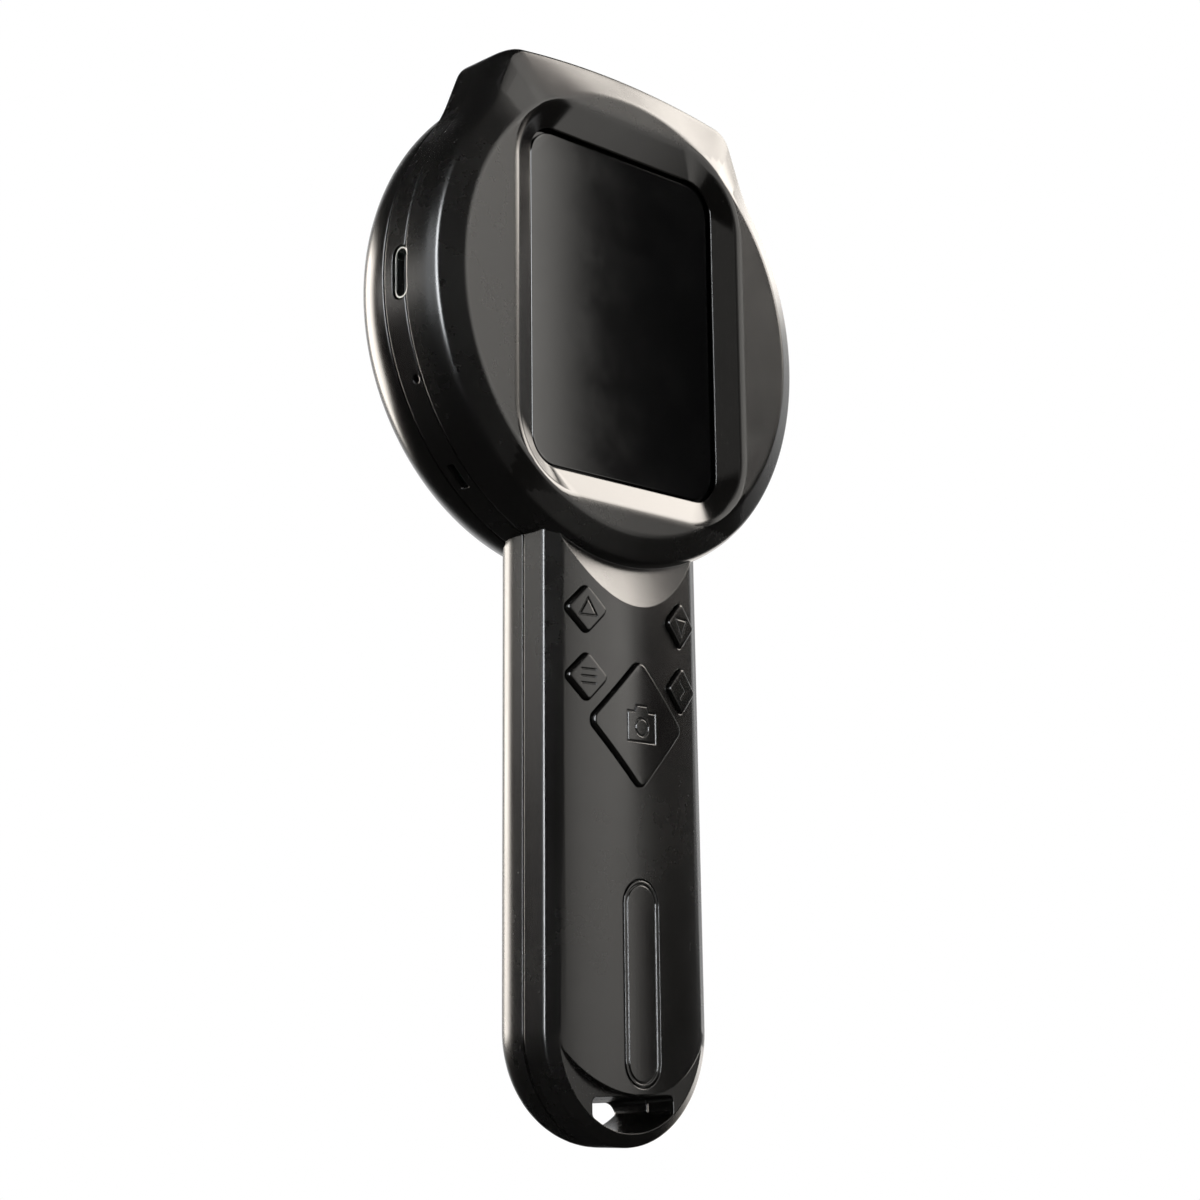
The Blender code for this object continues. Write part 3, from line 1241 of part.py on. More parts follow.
def build_switches():
    for name, centre, _, _ in keys():
        half = SWITCH_SIDE / 2
        body = block(f"switch_{name}", (centre[0] - half, SWITCH_DEPTH, centre[1] - half),
                     (centre[0] + half, SWITCH_DEPTH + SWITCH_HEIGHT, centre[1] + half))
        bore_end = SWITCH_DEPTH + PLUNGER_ENGAGEMENT + KEY_TRAVEL + FIT_GAP
        cut(body, post("bore", PLUNGER_RADIUS + FIT_GAP, centre, SWITCH_DEPTH - OVERRUN, bore_end))
        finish(body, (0.30, 0.30, 0.30), 0.35)
        plunger = post(f"plunger_{name}", PLUNGER_RADIUS, centre, PLUNGER_DEPTH,
                       SWITCH_DEPTH + PLUNGER_ENGAGEMENT)
        finish(plunger, (0.02, 0.02, 0.02), 0.4, origin=(centre[0], PLUNGER_DEPTH, centre[1]))


def build_keypad_board():
    top = below_neck(KEYPAD_TOP_DROP)
    middle = (0.0, top - KEYPAD_LENGTH / 2)
    outline = rounded_box(KEYPAD_HALF_WIDTH, KEYPAD_LENGTH / 2, KEYPAD_CORNER_RADIUS, CORNER_STEPS, middle)
    board = prism("keypad_board", outline, KEYPAD_DEPTH, KEYPAD_BACK)
    for place in keypad_stake_places():
        cut(board, post("hole", CLEARANCE_RADIUS, place, KEYPAD_DEPTH - OVERRUN, KEYPAD_BACK + OVERRUN,
                        SMALL_ROD_STEPS))
    return finish(board, BOARD_GREEN, 0.45)


def build_mount():
    """The lens holder: a base over the sensor, a tube for the barrel and two screw ears."""
    base_end = CHIP_DEPTH + MOUNT_BASE_DEPTH
    half = MOUNT_SIDE / 2
    mount = block("lens_mount", (-half, CHIP_DEPTH, -half), (half, base_end, half))
    ears = block("ears", (-MOUNT_EAR_REACH, CHIP_DEPTH, -MOUNT_EAR_HALF_WIDTH),
                 (MOUNT_EAR_REACH, CHIP_DEPTH + MOUNT_EAR_THICKNESS, MOUNT_EAR_HALF_WIDTH))
    tube_radius = BARREL_RADIUS + FIT_GAP + MOUNT_TUBE_WALL
    tube = post("tube", tube_radius, (0.0, 0.0), base_end - MOUNT_EAR_THICKNESS, MOUNT_TUBE_END,
                TURNED_STEPS // 2)
    unite(mount, ears, tube)
    room = MOUNT_ROOM_SIDE / 2
    cut(mount, block("room", (-room, CHIP_DEPTH - OVERRUN, -room),
                     (room, CHIP_DEPTH + MOUNT_ROOM_DEPTH, room)))
    cut(mount, post("bore", BARREL_RADIUS + FIT_GAP, (0.0, 0.0), CHIP_DEPTH, MOUNT_TUBE_END + OVERRUN,
                    TURNED_STEPS // 2))
    for side in (-1, 1):
        place = (side * MOUNT_SCREW_ACROSS, 0.0)
        cut(mount, post("hole", CLEARANCE_RADIUS, place, CHIP_DEPTH - OVERRUN, base_end,
                        SMALL_ROD_STEPS))
    return finish(mount, DARK_PLASTIC, 0.5)


def build_optics():
    filter_end = CHIP_DEPTH + MOUNT_ROOM_DEPTH - FIT_GAP
    half = FILTER_SIDE / 2
    glass = block("filter_glass", (-half, filter_end - FILTER_THICKNESS, -half), (half, filter_end, half))
    finish(glass, (0.25, 0.45, 0.50), 0.05)
    barrel = turned("lens_barrel", [
        (BARREL_RADIUS, BARREL_START),
        (BARREL_RADIUS, BARREL_END),
        (BARREL_LEDGE_BORE, BARREL_END),
        (BARREL_LEDGE_BORE, BARREL_END - BARREL_LEDGE),
        (BARREL_BORE, BARREL_END - BARREL_LEDGE),
        (BARREL_BORE, BARREL_START),
    ], TURNED_STEPS // 2)
    finish(barrel, (0.04, 0.04, 0.04), 0.35, 0.6)
    lens_end = BARREL_END - BARREL_LEDGE - FIT_GAP
    build_lens("objective_lens", lens_end - LENS_THICKNESS)
    build_lens("relay_lens", BARREL_START + BARREL_LEDGE)


def build_lens(name, start):
    """A round lens whose two faces bulge."""
    radius = BARREL_BORE - FIT_GAP
    edge_start = start + LENS_BULGE
    edge_end = start + LENS_THICKNESS - LENS_BULGE
    outline = circle(1.0, (0, 0), ROD_STEPS)
    rings = []
    for share, depth in ((0.5, start), (1.0, edge_start), (1.0, edge_end), (0.5, start + LENS_THICKNESS)):
        rings.append([(x * radius * share, depth, z * radius * share) for x, z in outline])
    finish(loft(name, rings), CLEAR_GLASS, 0.03)


def build_hood():
    """The collar round the lens, which rests on the specimen: flange, collar, taper and inner steps."""
    seat = LIGHT_WINDOW_DEPTH - FIT_GAP
    ledge_end = LED_BOARD_DEPTH - FIT_GAP
    window_room = HOOD_BORE + LIGHT_WINDOW_SEAT
    hood = turned("lens_hood", [
        (HOOD_FLANGE_RADIUS, HOOD_FLANGE_DEPTH),
        (HOOD_FLANGE_RADIUS, HOOD_FLANGE_BACK),
        (HOOD_RADIUS, HOOD_FLANGE_BACK),
        (HOOD_RADIUS, COVER_END + FIT_GAP),
        (HOOD_RADIUS + HOOD_COLLAR, COVER_END + FIT_GAP),
        (HOOD_RADIUS + HOOD_COLLAR, COVER_END + FIT_GAP + HOOD_COLLAR_HEIGHT),
        (HOOD_RADIUS, COVER_END + FIT_GAP + HOOD_COLLAR_HEIGHT + HOOD_COLLAR),
        (HOOD_END_RADIUS, HOOD_END),
        (HOOD_END_RADIUS - HOOD_END_WALL, HOOD_END),
        (window_room, LIGHT_WINDOW_END + HOOD_COLLAR),
        (window_room, seat),
        (HOOD_BORE, seat),
        (HOOD_BORE, ledge_end),
        (HOOD_LEDGE_BORE, ledge_end),
        (HOOD_LEDGE_BORE, HOOD_FLANGE_DEPTH),
    ])
    return finish(hood, BLACK_PLASTIC, 0.30)


def build_lighting():
    board = turned("led_board", ring_profile(
        LED_BOARD_BORE, HOOD_BORE - FIT_GAP, LED_BOARD_DEPTH, LED_BOARD_DEPTH + LED_BOARD_THICKNESS
    ), TURNED_STEPS // 2)
    half = LED_SIDE / 2
    seat = LED_BOARD_DEPTH + LED_BOARD_THICKNESS / 2
    for index in range(LED_COUNT):
        led = block("led", (LED_CIRCLE - half, seat, -half), (LED_CIRCLE + half, LED_END, half))
        unite(board, at_bearing(led, 360 * (index + 0.5) / LED_COUNT))
    finish(board, (0.80, 0.80, 0.78), 0.5)
    window = turned("light_window", ring_profile(
        BARREL_RADIUS + FIT_GAP, HOOD_BORE + LIGHT_WINDOW_SEAT - FIT_GAP, LIGHT_WINDOW_DEPTH,
        LIGHT_WINDOW_END
    ), TURNED_STEPS // 2)
    finish(window, CLEAR_GLASS, 0.08)


def ring_profile(bore, radius, start, end):
    return [(radius, start), (radius, end), (bore, end), (bore, start)]


def build_power():
    pad_end = HANDLE_INNER_BACK - FIT_GAP
    side_room = BACK_ROUNDING - HANDLE_WALL
    shoulder = HANDLE_HALF_WIDTH - HANDLE_WALL - side_room
    overhang = BATTERY_WIDTH / 2 - shoulder
    back = SIDE_DEPTH + math.sqrt(side_room**2 - overhang**2) - FIT_GAP - BATTERY_EDGE / 2
    top = below_neck(BATTERY_TOP_DROP)
    low = (-BATTERY_WIDTH / 2, back - BATTERY_THICKNESS, top - BATTERY_LENGTH)
    battery = block("battery", low, (BATTERY_WIDTH / 2, back, top))
    edge = battery.modifiers.new("edge", "BEVEL")
    edge.width = BATTERY_EDGE
    edge.segments = 2
    finish(battery, (0.25, 0.32, 0.42), 0.4, 0.3)
    middle = top - BATTERY_LENGTH / 2
    half = Vector((BATTERY_PAD_WIDTH, BATTERY_PAD_LENGTH)) / 2
    pad = block("battery_pad", (-half.x, back + FIT_GAP, middle - half.y),
                (half.x, pad_end, middle + half.y))
    finish(pad, (0.05, 0.05, 0.05), 0.95)
    exit_depth = KEYPAD_BACK + FIT_GAP + LEAD_RADIUS
    start, end = (0, exit_depth, top + FIT_GAP), (0, exit_depth, top + BATTERY_LEAD_RISE)
    finish(leads("battery_leads", start, end, (1, 0, 0)), (0.5, 0.03, 0.02), 0.5)


def build_links():
    """Flat cables from the screen and the keypad to the main board, and the lights' two wires."""
    link_depth = KEYPAD_BACK + FIT_GAP + RIBBON_THICKNESS / 2
    link_top = -FLANGE_RADIUS - FIT_GAP - SPIGOT_BEAD
    link_low = below_neck(KEYPAD_TOP_DROP + BOARD_LINK_OVERLAP)
    link = ribbon("board_link", [(link_depth, link_top), (link_depth, link_low)],
                  -BRACKET_EAR_RADIUS * 3, RIBBON_HALF_WIDTH / 2, RIBBON_THICKNESS)
    finish(link, FLEX_AMBER, 0.4)
    edge = -FOOT_HALF_HEIGHT - LCD_MARGIN
    loop = edge - LCD_FLEX_LOOP
    front = LCD_DEPTH + LCD_THICKNESS / 2
    back = MAIN_BOARD_DEPTH - FIT_GAP - RIBBON_THICKNESS / 2
    flex = ribbon("lcd_flex", [(front, edge - FIT_GAP), (front, loop), (back, loop), (back, edge)],
                  LCD_FLEX_ACROSS, RIBBON_HALF_WIDTH, RIBBON_THICKNESS)
    finish(flex, FLEX_AMBER, 0.4)
    across, height = polar(HOOD_LEDGE_BORE - LED_LEAD_INSET, LED_LEAD_BEARING)
    start = (across, LED_BOARD_DEPTH - FIT_GAP, height)
    end = (across, CHIP_DEPTH, height)
    finish(leads("led_leads", start, end, (0, 0, 1)), (0.55, 0.50, 0.05), 0.5)


def screw(name, place, seat, length):
    """A pan-head screw driven along the depth: its head stands behind the seat, its shank ahead."""
    head = seat + FIT_GAP
    top = head + SCREW_HEAD_HEIGHT
    rows = [(SHANK_RADIUS, head - length), (SHANK_RADIUS, head), (SCREW_HEAD_RADIUS, head)]
    rows += [(SCREW_HEAD_RADIUS, top), (SOCKET_RADIUS, top), (SOCKET_RADIUS, top - SOCKET_DEPTH)]
    return stepped_post(name, place, rows, SMALL_ROD_STEPS)


def build_screws():
    flush = REAR_END - SCREW_HEAD_HEIGHT - FIT_GAP
    handle_seat = REAR_START + HANDLE_SCREW_FLOOR
    mount_seat = CHIP_DEPTH + MOUNT_EAR_THICKNESS
    mount_length = MOUNT_EAR_THICKNESS + FIT_GAP + MAIN_BOARD_THICKNESS
    mount_places = [(side * MOUNT_SCREW_ACROSS, 0.0) for side in (-1, 1)]
    groups = [
        ("head_screw", head_screw_places(), flush, flush - MAIN_BOARD_DEPTH + SCREW_ENGAGEMENT),
        ("handle_screw", handle_screw_places(), handle_seat, HANDLE_SCREW_FLOOR + SCREW_ENGAGEMENT),
        ("lens_screw", mount_places, mount_seat, mount_length),
    ]
    for name, places, seat, length in groups:
        for index, place in enumerate(places, start=1):
            finish(screw(f"{name}_{index}", place, seat, length), TINNED_STEEL, 0.3, 1.0)


def build():
    for obj in list(bpy.data.objects):
        bpy.data.objects.remove(obj, do_unlink=True)
    frame = add_object("head_frame", None)
    frame.location = (0.0, -GRIP_DEPTH, HEAD_RADIUS + GRIP_BELOW_NECK)
    build_front_shell()
    build_rear_shell()
    build_rear_cover()
    build_inlay()
    build_screen()
    build_bracket()
    build_main_board()
    build_chips()
    build_usb()
    build_card_socket()
    build_reset()
    build_status_light()
    build_keys()
    build_switches()
    build_keypad_board()
    build_mount()
    build_optics()
    build_hood()
    build_lighting()
    build_power()
    build_links()
    build_screws()


build()
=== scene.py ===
"""The digital magnifier's looks: finer shells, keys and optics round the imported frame, their materials,
the camera, a pale floor and the light, which is plain for matt surfaces and a studio of strong softboxes
for gloss. Lengths are in metres, apart from the key signs, and angles in degrees. Pieces are drawn in the
head's frame, (across, depth, height), whose origin is where the head's axis meets its front plane, and
are then put where the frame has them.
"""

import math

import bmesh
import bpy
import numpy as np
from mathutils import Matrix, Vector


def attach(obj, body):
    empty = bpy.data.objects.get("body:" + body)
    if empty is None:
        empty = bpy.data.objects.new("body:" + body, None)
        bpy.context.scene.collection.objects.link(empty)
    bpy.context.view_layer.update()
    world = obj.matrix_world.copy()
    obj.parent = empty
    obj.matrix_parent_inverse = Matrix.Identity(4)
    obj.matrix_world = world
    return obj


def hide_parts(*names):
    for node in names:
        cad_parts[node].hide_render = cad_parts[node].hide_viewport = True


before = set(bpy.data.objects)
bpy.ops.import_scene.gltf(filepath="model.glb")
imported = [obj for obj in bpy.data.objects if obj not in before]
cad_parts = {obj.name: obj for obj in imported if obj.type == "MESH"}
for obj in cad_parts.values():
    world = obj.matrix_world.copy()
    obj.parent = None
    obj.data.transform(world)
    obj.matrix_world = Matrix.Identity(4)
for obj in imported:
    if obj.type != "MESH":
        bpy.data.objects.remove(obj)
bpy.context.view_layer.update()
bpy.context.scene.view_settings.view_transform = "Standard"

# Fits
FIT_GAP = 0.0003
OVERRUN = 0.0020
MERGE_DISTANCE = 0.000001

# Head
HEAD_RADIUS = 0.0454
RING_EDGE_INSET = 0.0014
RING_EDGE_DEPTH = 0.0019
SHOULDER_END = 0.0075
SEAM_DEPTH = 0.0093
RIM_DEPTH = 0.01475
HEAD_WALL = 0.0022
DISC_RADIUS = 0.0400
EDGE_SOFTENING = 0.0006
RIM_SOFTENING = 0.0004
BRINK_SOFTENING = 0.0011
TAB_CORNER_PROUD = 0.0065
TAB_CORNER_BEARING = 32.8
TAB_CROWN = 0.0022
TAB_FLARE = 22.4
TAB_CORNER_RADIUS = 0.0060
TAB_HOLLOW_RADIUS = 0.0300

# Screen recess
OPENING_HALF_WIDTH = 0.0282
OPENING_HALF_HEIGHT = 0.0359
OPENING_CORNER_RADIUS = 0.0150
RECESS_SLOPE_WIDTH = 0.0051
RECESS_FOOT_RADIUS = 0.0060
RECESS_DEPTH = 0.0024
WINDOW_DEPTH = 0.0030
WINDOW_MARGIN = 0.0024
WINDOW_CORNER_RADIUS = 0.0065
SURROUND_WALL = 0.0014
SURROUND_BACK = 0.0017
SCREEN_HALF_WIDTH = 0.0223
SCREEN_HALF_HEIGHT = 0.0301
SCREEN_CORNER_RADIUS = 0.0052
PANE_SOFTENING = 0.00025
BORDER_SUNK = 0.00065
WINDOW_THICKNESS = 0.0009

# Handle
HANDLE_HALF_WIDTH = 0.0192
NECK_HALF_WIDTH = 0.0187
HANDLE_LENGTH = 0.0982
GRIP_BELOW_NECK = 0.0496
GRIP_DEPTH = 0.0110
HANDLE_WALL = 0.0020
CROWN_DEPTH = 0.0006
CROWN_RADIUS = 0.0600
CHAMFER_WIDTH = 0.0024
CHAMFER_RISE = 0.0014
CHAMFER_DEPTH = 0.0044
SIDE_DEPTH = 0.0110
BACK_ROUNDING = 0.0088
NECK_RUN_IN = 0.0080
SCOOP_DROP = 0.0073
SCOOP_SLOPE = 20.5
SCOOP_RADIUS = 0.0800
SCOOP_LENGTH = 0.0220
STEP_RISE = 0.0085
STEP_RADIUS = 0.0215
STEP_DEPTH = 0.0031
SLOT_HALF_WIDTH = 0.0096
SLOT_RISE = 0.0084
SLOT_END_WALL = 0.0023
SLOT_CORNER_RADIUS = 0.0010
SLOT_BACK_FALL = 0.0013
SLOT_CASING = 0.0016

# Keys and pill. A sign's line has its half widths, on top and at its floor, as shares of MARK_LINE
KEY_HALF_DIAGONAL = 0.0041
KEY_CORNER_RADIUS = 0.0008
CAPTURE_HALF_DIAGONAL = 0.0111
CAPTURE_CORNER_RADIUS = 0.0016
KEY_ACROSS = 0.0115
UPPER_KEY_DROP = 0.0091
LOWER_KEY_DROP = 0.0207
CAPTURE_DROP = 0.0279
KEY_PROUD = 0.0008
KEY_EDGE_BEVEL = 0.00035
KEY_FACE_STEP = 0.0007
KEY_FACE_RINGS = 8
KEY_STEM_END = 0.0062
KEY_STEM_RADIUS = 0.0018
KEY_FLANGE_MARGIN = 0.0008
KEY_FLANGE_THICKNESS = 0.0008
INLAY_HALF_WIDTH = 0.0040
INLAY_LENGTH = 0.0340
INLAY_RISE = 0.0098
INLAY_THICKNESS = 0.0008
INLAY_EDGE = 0.00045
MARK_LINE = 0.00036
MARK_DEPTH = 0.00020
MARK_TOP = 0.62
MARK_FLOOR = 0.32
MITRE_LIMIT = 0.5
MILLIMETRES = 1000

# Holes of the side wall, by bearing from +X towards +Z
BOARD_MIDDLE = 0.0106
USB_BEARING = 180.5
USB_WIDTH = 0.0089
USB_THICKNESS = 0.0032
USB_LENGTH = 0.0073
USB_SHEET = 0.00025
USB_SETBACK = 0.0005
RESET_BEARING = 203.7
RESET_HOLE_RADIUS = 0.0008
STATUS_BEARING = 226.5
STATUS_DEPTH = 0.0119
STATUS_WIDTH = 0.0050
STATUS_THICKNESS = 0.0018
CARD_BEARING = 0.0
CARD_SLOT_MIDDLE = 0.0090
CARD_SLOT_WIDTH = 0.0120
CARD_SLOT_THICKNESS = 0.0011

# Back of the head
FLANGE_WIDTH = 0.0104
FLANGE_THICKNESS = 0.0017
COVER_WALL = 0.0020
COVER_SIDE = 0.0006
COVER_ROUNDING = 0.0127
HOOD_RADIUS = 0.0197
HOOD_END_RADIUS = 0.0182
HOOD_BORE = 0.0176
HOOD_END_WALL = 0.0014
HOOD_REACH = 0.0100
HOOD_COLLAR = 0.0010
HOOD_COLLAR_HEIGHT = 0.0012
BARREL_RADIUS = 0.0050
BARREL_BORE = 0.0039
BARREL_LEDGE_BORE = 0.0030
BARREL_LEDGE = 0.0005
BARREL_PROUD = 0.0004
BARREL_START = 0.0157
LENS_THICKNESS = 0.0016
LENS_SWING = 85
LIGHT_WINDOW_THICKNESS = 0.0012
LIGHT_WINDOW_SEAT = 0.0008
COUNTERBORE_RADIUS = 0.0021
CLEARANCE_RADIUS = 0.0012
END_SCREW_ACROSS = 0.0133
END_SCREW_RISE = 0.0137
HANDLE_BOSS_RADIUS = 0.0032
HANDLE_SCREW_FLOOR = 0.0018

# How finely curves are cut
HEAD_ARC_STEPS = 96
TAB_ARC_STEPS = 24
CORNER_STEPS = 10
OPENING_CORNER_STEPS = 20
END_ARC_STEPS = 40
ROUNDING_STEPS = 14
SOFT_STEPS = 5
RING_STEPS = 8
SETTLING_PASSES = 600
CROWN_STEPS = 48
TURNED_STEPS = 192
ROD_STEPS = 32
SMOOTH_ANGLE = 20.0
NORMAL_WEIGHT = 60
NOISE_DIGITS = 9

# Places worked out from the sizes above
FRONT_END = SEAM_DEPTH - FIT_GAP / 2
REAR_START = SEAM_DEPTH + FIT_GAP / 2
REAR_END = RIM_DEPTH - FIT_GAP / 2
COVER_START = RIM_DEPTH + FIT_GAP / 2
COVER_END = COVER_START + COVER_SIDE + COVER_ROUNDING
FOOT_HALF_WIDTH = OPENING_HALF_WIDTH - RECESS_SLOPE_WIDTH
FOOT_HALF_HEIGHT = OPENING_HALF_HEIGHT - RECESS_SLOPE_WIDTH
FLANGE_RADIUS = HEAD_RADIUS - FLANGE_WIDTH
FLANGE_DEPTH = REAR_END - FLANGE_THICKNESS
HANDLE_DEPTH = SIDE_DEPTH + BACK_ROUNDING
END_HEIGHT = -HEAD_RADIUS - HANDLE_LENGTH
END_CENTRE = END_HEIGHT + HANDLE_HALF_WIDTH
NECK_TOP = -HEAD_RADIUS + NECK_RUN_IN
SLOT_TOP = END_HEIGHT + SLOT_RISE
SLOT_ARC_RADIUS = HANDLE_HALF_WIDTH - SLOT_END_WALL
HOOD_END = COVER_END + HOOD_REACH
LIGHT_WINDOW_END = COVER_END + HOOD_COLLAR_HEIGHT
LIGHT_WINDOW_DEPTH = LIGHT_WINDOW_END - LIGHT_WINDOW_THICKNESS
BARREL_END = LIGHT_WINDOW_END + BARREL_PROUD
SEAM_SOFTENING = FIT_GAP / 2
TURNED_SOFTENING = FIT_GAP / 3
LENS_DOME = FIT_GAP * 2
WALL_IN = HEAD_RADIUS - HEAD_WALL - OVERRUN
WALL_OUT = HEAD_RADIUS + OVERRUN
CUT_REACH = HANDLE_HALF_WIDTH + OVERRUN
SCREW_PLACES = [(side * END_SCREW_ACROSS, END_HEIGHT + END_SCREW_RISE) for side in (-1, 1)]
HEAD_HEIGHT = HEAD_RADIUS + GRIP_BELOW_NECK
TO_WORLD = Matrix.Translation((0.0, -GRIP_DEPTH, HEAD_HEIGHT))


def below_neck(drop):
    return -HEAD_RADIUS - drop


def polar(radius, bearing):
    across = radius * math.cos(math.radians(bearing))
    height = radius * math.sin(math.radians(bearing))
    return round(across, NOISE_DIGITS), round(height, NOISE_DIGITS)


def arc(centre, radius, start, end, steps):
    """Points along an arc of an outline, both ends included."""
    points = []
    for step in range(steps + 1):
        across, height = polar(radius, start + (end - start) * step / steps)
        points.append((centre[0] + across, centre[1] + height))
    return points


def mirrored(half):
    """A closed outline from its right half, which runs from the bottom to the top."""
    return half + [(-across, height) for across, height in reversed(half) if across > MERGE_DISTANCE]


def rounded(corners, radius, steps=SOFT_STEPS):
    """An outline whose corners are all rounded by one radius."""
    points = []
    for index, corner in enumerate(corners):
        here = Vector(corner)
        before = (Vector(corners[index - 1]) - here).normalized()
        after = (Vector(corners[(index + 1) % len(corners)]) - here).normalized()
        half_angle = before.angle(after) / 2
        centre = here + (before + after).normalized() * radius / math.sin(half_angle)
        reach = radius / math.tan(half_angle)
        first = here + before * reach - centre
        last = here + after * reach - centre
        sweep = math.atan2(first.cross(last), first.dot(last))
        for step in range(steps + 1):
            points.append(tuple(centre + Matrix.Rotation(sweep * step / steps, 2) @ first))
    return points


def rounded_box(half_width, half_height, radius, steps=OPENING_CORNER_STEPS):
    corners = [(half_width, -half_height), (half_width, half_height)]
    corners += [(-half_width, half_height), (-half_width, -half_height)]
    return rounded(corners, radius, steps)


def opening(margin):
    """The outline of the screen recess in the front plane, grown by a margin."""
    return rounded_box(OPENING_HALF_WIDTH + margin, OPENING_HALF_HEIGHT + margin,
                       OPENING_CORNER_RADIUS + margin)


def window_border(margin):
    return rounded_box(FOOT_HALF_WIDTH + WINDOW_MARGIN + margin, FOOT_HALF_HEIGHT + WINDOW_MARGIN + margin,
                       WINDOW_CORNER_RADIUS + margin, CORNER_STEPS)


def diamond(centre, half_diagonal, radius, margin=0.0):
    """A square standing on a rounded corner, grown by a margin."""
    reach = half_diagonal + margin * math.sqrt(2)
    corners = [(0, -reach), (reach, 0), (0, reach), (-reach, 0)]
    return rounded([(centre[0] + x, centre[1] + z) for x, z in corners], radius + margin, CORNER_STEPS)


def circle(radius, centre=(0.0, 0.0), steps=ROD_STEPS):
    return arc(centre, radius, 0, 360, steps)[:-1]


def head_outline(inset):
    """The head's outline with its tab, drawn in by an inset: arcs about fixed centres, and one line."""
    flare = math.radians(TAB_FLARE)
    out = Vector((math.cos(flare), math.sin(flare)))
    up = Vector((-out.y, out.x))
    corner = Vector(polar(HEAD_RADIUS + TAB_CORNER_PROUD, 90 - TAB_CORNER_BEARING))
    side = out.dot(corner)
    top_radius = (corner.x**2 + TAB_CROWN**2) / (2 * TAB_CROWN)
    top_centre = Vector((0, corner.y + TAB_CROWN - top_radius))
    hollow_side = side + TAB_HOLLOW_RADIUS
    hollow_up = math.sqrt((HEAD_RADIUS + TAB_HOLLOW_RADIUS) ** 2 - hollow_side**2)
    hollow = out * hollow_side + up * hollow_up
    corner_side = side - TAB_CORNER_RADIUS
    corner_reach = corner_side - top_centre.dot(out)
    corner_up = math.sqrt((top_radius - TAB_CORNER_RADIUS) ** 2 - corner_reach**2)
    corner_centre = out * corner_side + up * (top_centre.dot(up) + corner_up)
    meet = math.degrees(math.atan2(hollow.y, hollow.x))
    top_start = math.degrees(math.atan2(corner_centre.y - top_centre.y, corner_centre.x))
    half = arc((0, 0), HEAD_RADIUS - inset, -90, meet, HEAD_ARC_STEPS)[:-1]
    half += arc(hollow, TAB_HOLLOW_RADIUS + inset, meet + 180, TAB_FLARE + 180, CORNER_STEPS)
    half += arc(corner_centre, TAB_CORNER_RADIUS - inset, TAB_FLARE, top_start, CORNER_STEPS)[:-1]
    half += arc(top_centre, top_radius - inset, top_start, 90, TAB_ARC_STEPS)
    return mirrored(half)


def handle_outline(inset, top):
    half = arc((0, END_CENTRE), HANDLE_HALF_WIDTH - inset, -90, 0, END_ARC_STEPS)
    half.append((NECK_HALF_WIDTH - inset, top))
    return mirrored(half)


def slot_outline_at(margin, depth):
    """The lanyard slot at a depth: its straight top falls towards the back."""
    top = SLOT_TOP - SLOT_BACK_FALL * (depth - STEP_DEPTH) / (HANDLE_DEPTH - STEP_DEPTH)
    half_width = SLOT_HALF_WIDTH + margin
    radius = SLOT_ARC_RADIUS + margin
    corner = SLOT_CORNER_RADIUS + margin
    swing = math.degrees(math.asin((half_width - corner) / (radius - corner)))
    low_corner = polar(radius - corner, swing - 90)
    low_centre = (low_corner[0], END_CENTRE + low_corner[1])
    high_centre = (half_width - corner, top + margin - corner)
    half = arc((0, END_CENTRE), radius, -90, swing - 90, CORNER_STEPS)[:-1]
    half += arc(low_centre, corner, swing - 90, 0, CORNER_STEPS)
    half += arc(high_centre, corner, 0, 90, CORNER_STEPS)
    return mirrored(half)


def bezier_rows(first, middle, last, steps=SOFT_STEPS):
    """Rings along a curve between two rings that leans towards a middle one."""
    rows = []
    for step in range(steps + 1):
        t = step / steps
        weights = ((1 - t) ** 2, 2 * t * (1 - t), t**2)
        rows.append([
            tuple(sum(w * p[axis] for w, p in zip(weights, points)) for axis in range(3))
            for points in zip(first, middle, last)
        ])
    return rows


def object_from(bm, plain=False):
    bmesh.ops.recalc_face_normals(bm, faces=bm.faces)
    if not plain and bm.calc_volume(signed=True) < 0:
        bmesh.ops.reverse_faces(bm, faces=bm.faces)
    if not plain:
        bmesh.ops.triangulate(bm, faces=[face for face in bm.faces if len(face.verts) > 4])
    mesh = bpy.data.meshes.new("made")
    bm.to_mesh(mesh)
    bm.free()
    obj = bpy.data.objects.new("made", mesh)
    bpy.context.scene.collection.objects.link(obj)
    return obj


def skin(bm, low, high):
    """The faces between two closed rows of points."""
    for index in range(len(low)):
        bm.faces.new((low[index - 1], low[index], high[index], high[index - 1]))


def loft(rings):
    """A closed solid through rings of points that match one by one."""
    bm = bmesh.new()
    rows = [[bm.verts.new(point) for point in ring] for ring in rings]
    bm.faces.new(rows[0])
    for low, high in zip(rows, rows[1:]):
        skin(bm, low, high)
    bm.faces.new(rows[-1])
    return object_from(bm)


def layer(outline, depth):
    return [(across, depth, height) for across, height in outline]


def head_layer(inset, depth):
    return layer(head_outline(inset), depth)


def handle_layer(inset, depth, top=NECK_TOP):
    return layer(handle_outline(inset, top), depth)


def prism(outline, start, end):
    return loft([layer(outline, start), layer(outline, end)])


def bar(outline, start=WALL_IN, end=WALL_OUT):
    """A bar along +X from an outline of (depth, height), by default through the head's wall."""
    return loft([[(x, y, z) for y, z in outline] for x in (start, end)])


def block(low, high):
    low, high = Vector(low), Vector(high)
    bm = bmesh.new()
    bmesh.ops.create_cube(bm, size=1.0)
    bm.transform(Matrix.Translation((low + high) / 2) @ Matrix.Diagonal((*(high - low), 1.0)))
    return object_from(bm)


def post(radius, place, start, end, steps=ROD_STEPS):
    return stepped_post(place, [(radius, start), (radius, end)], steps)


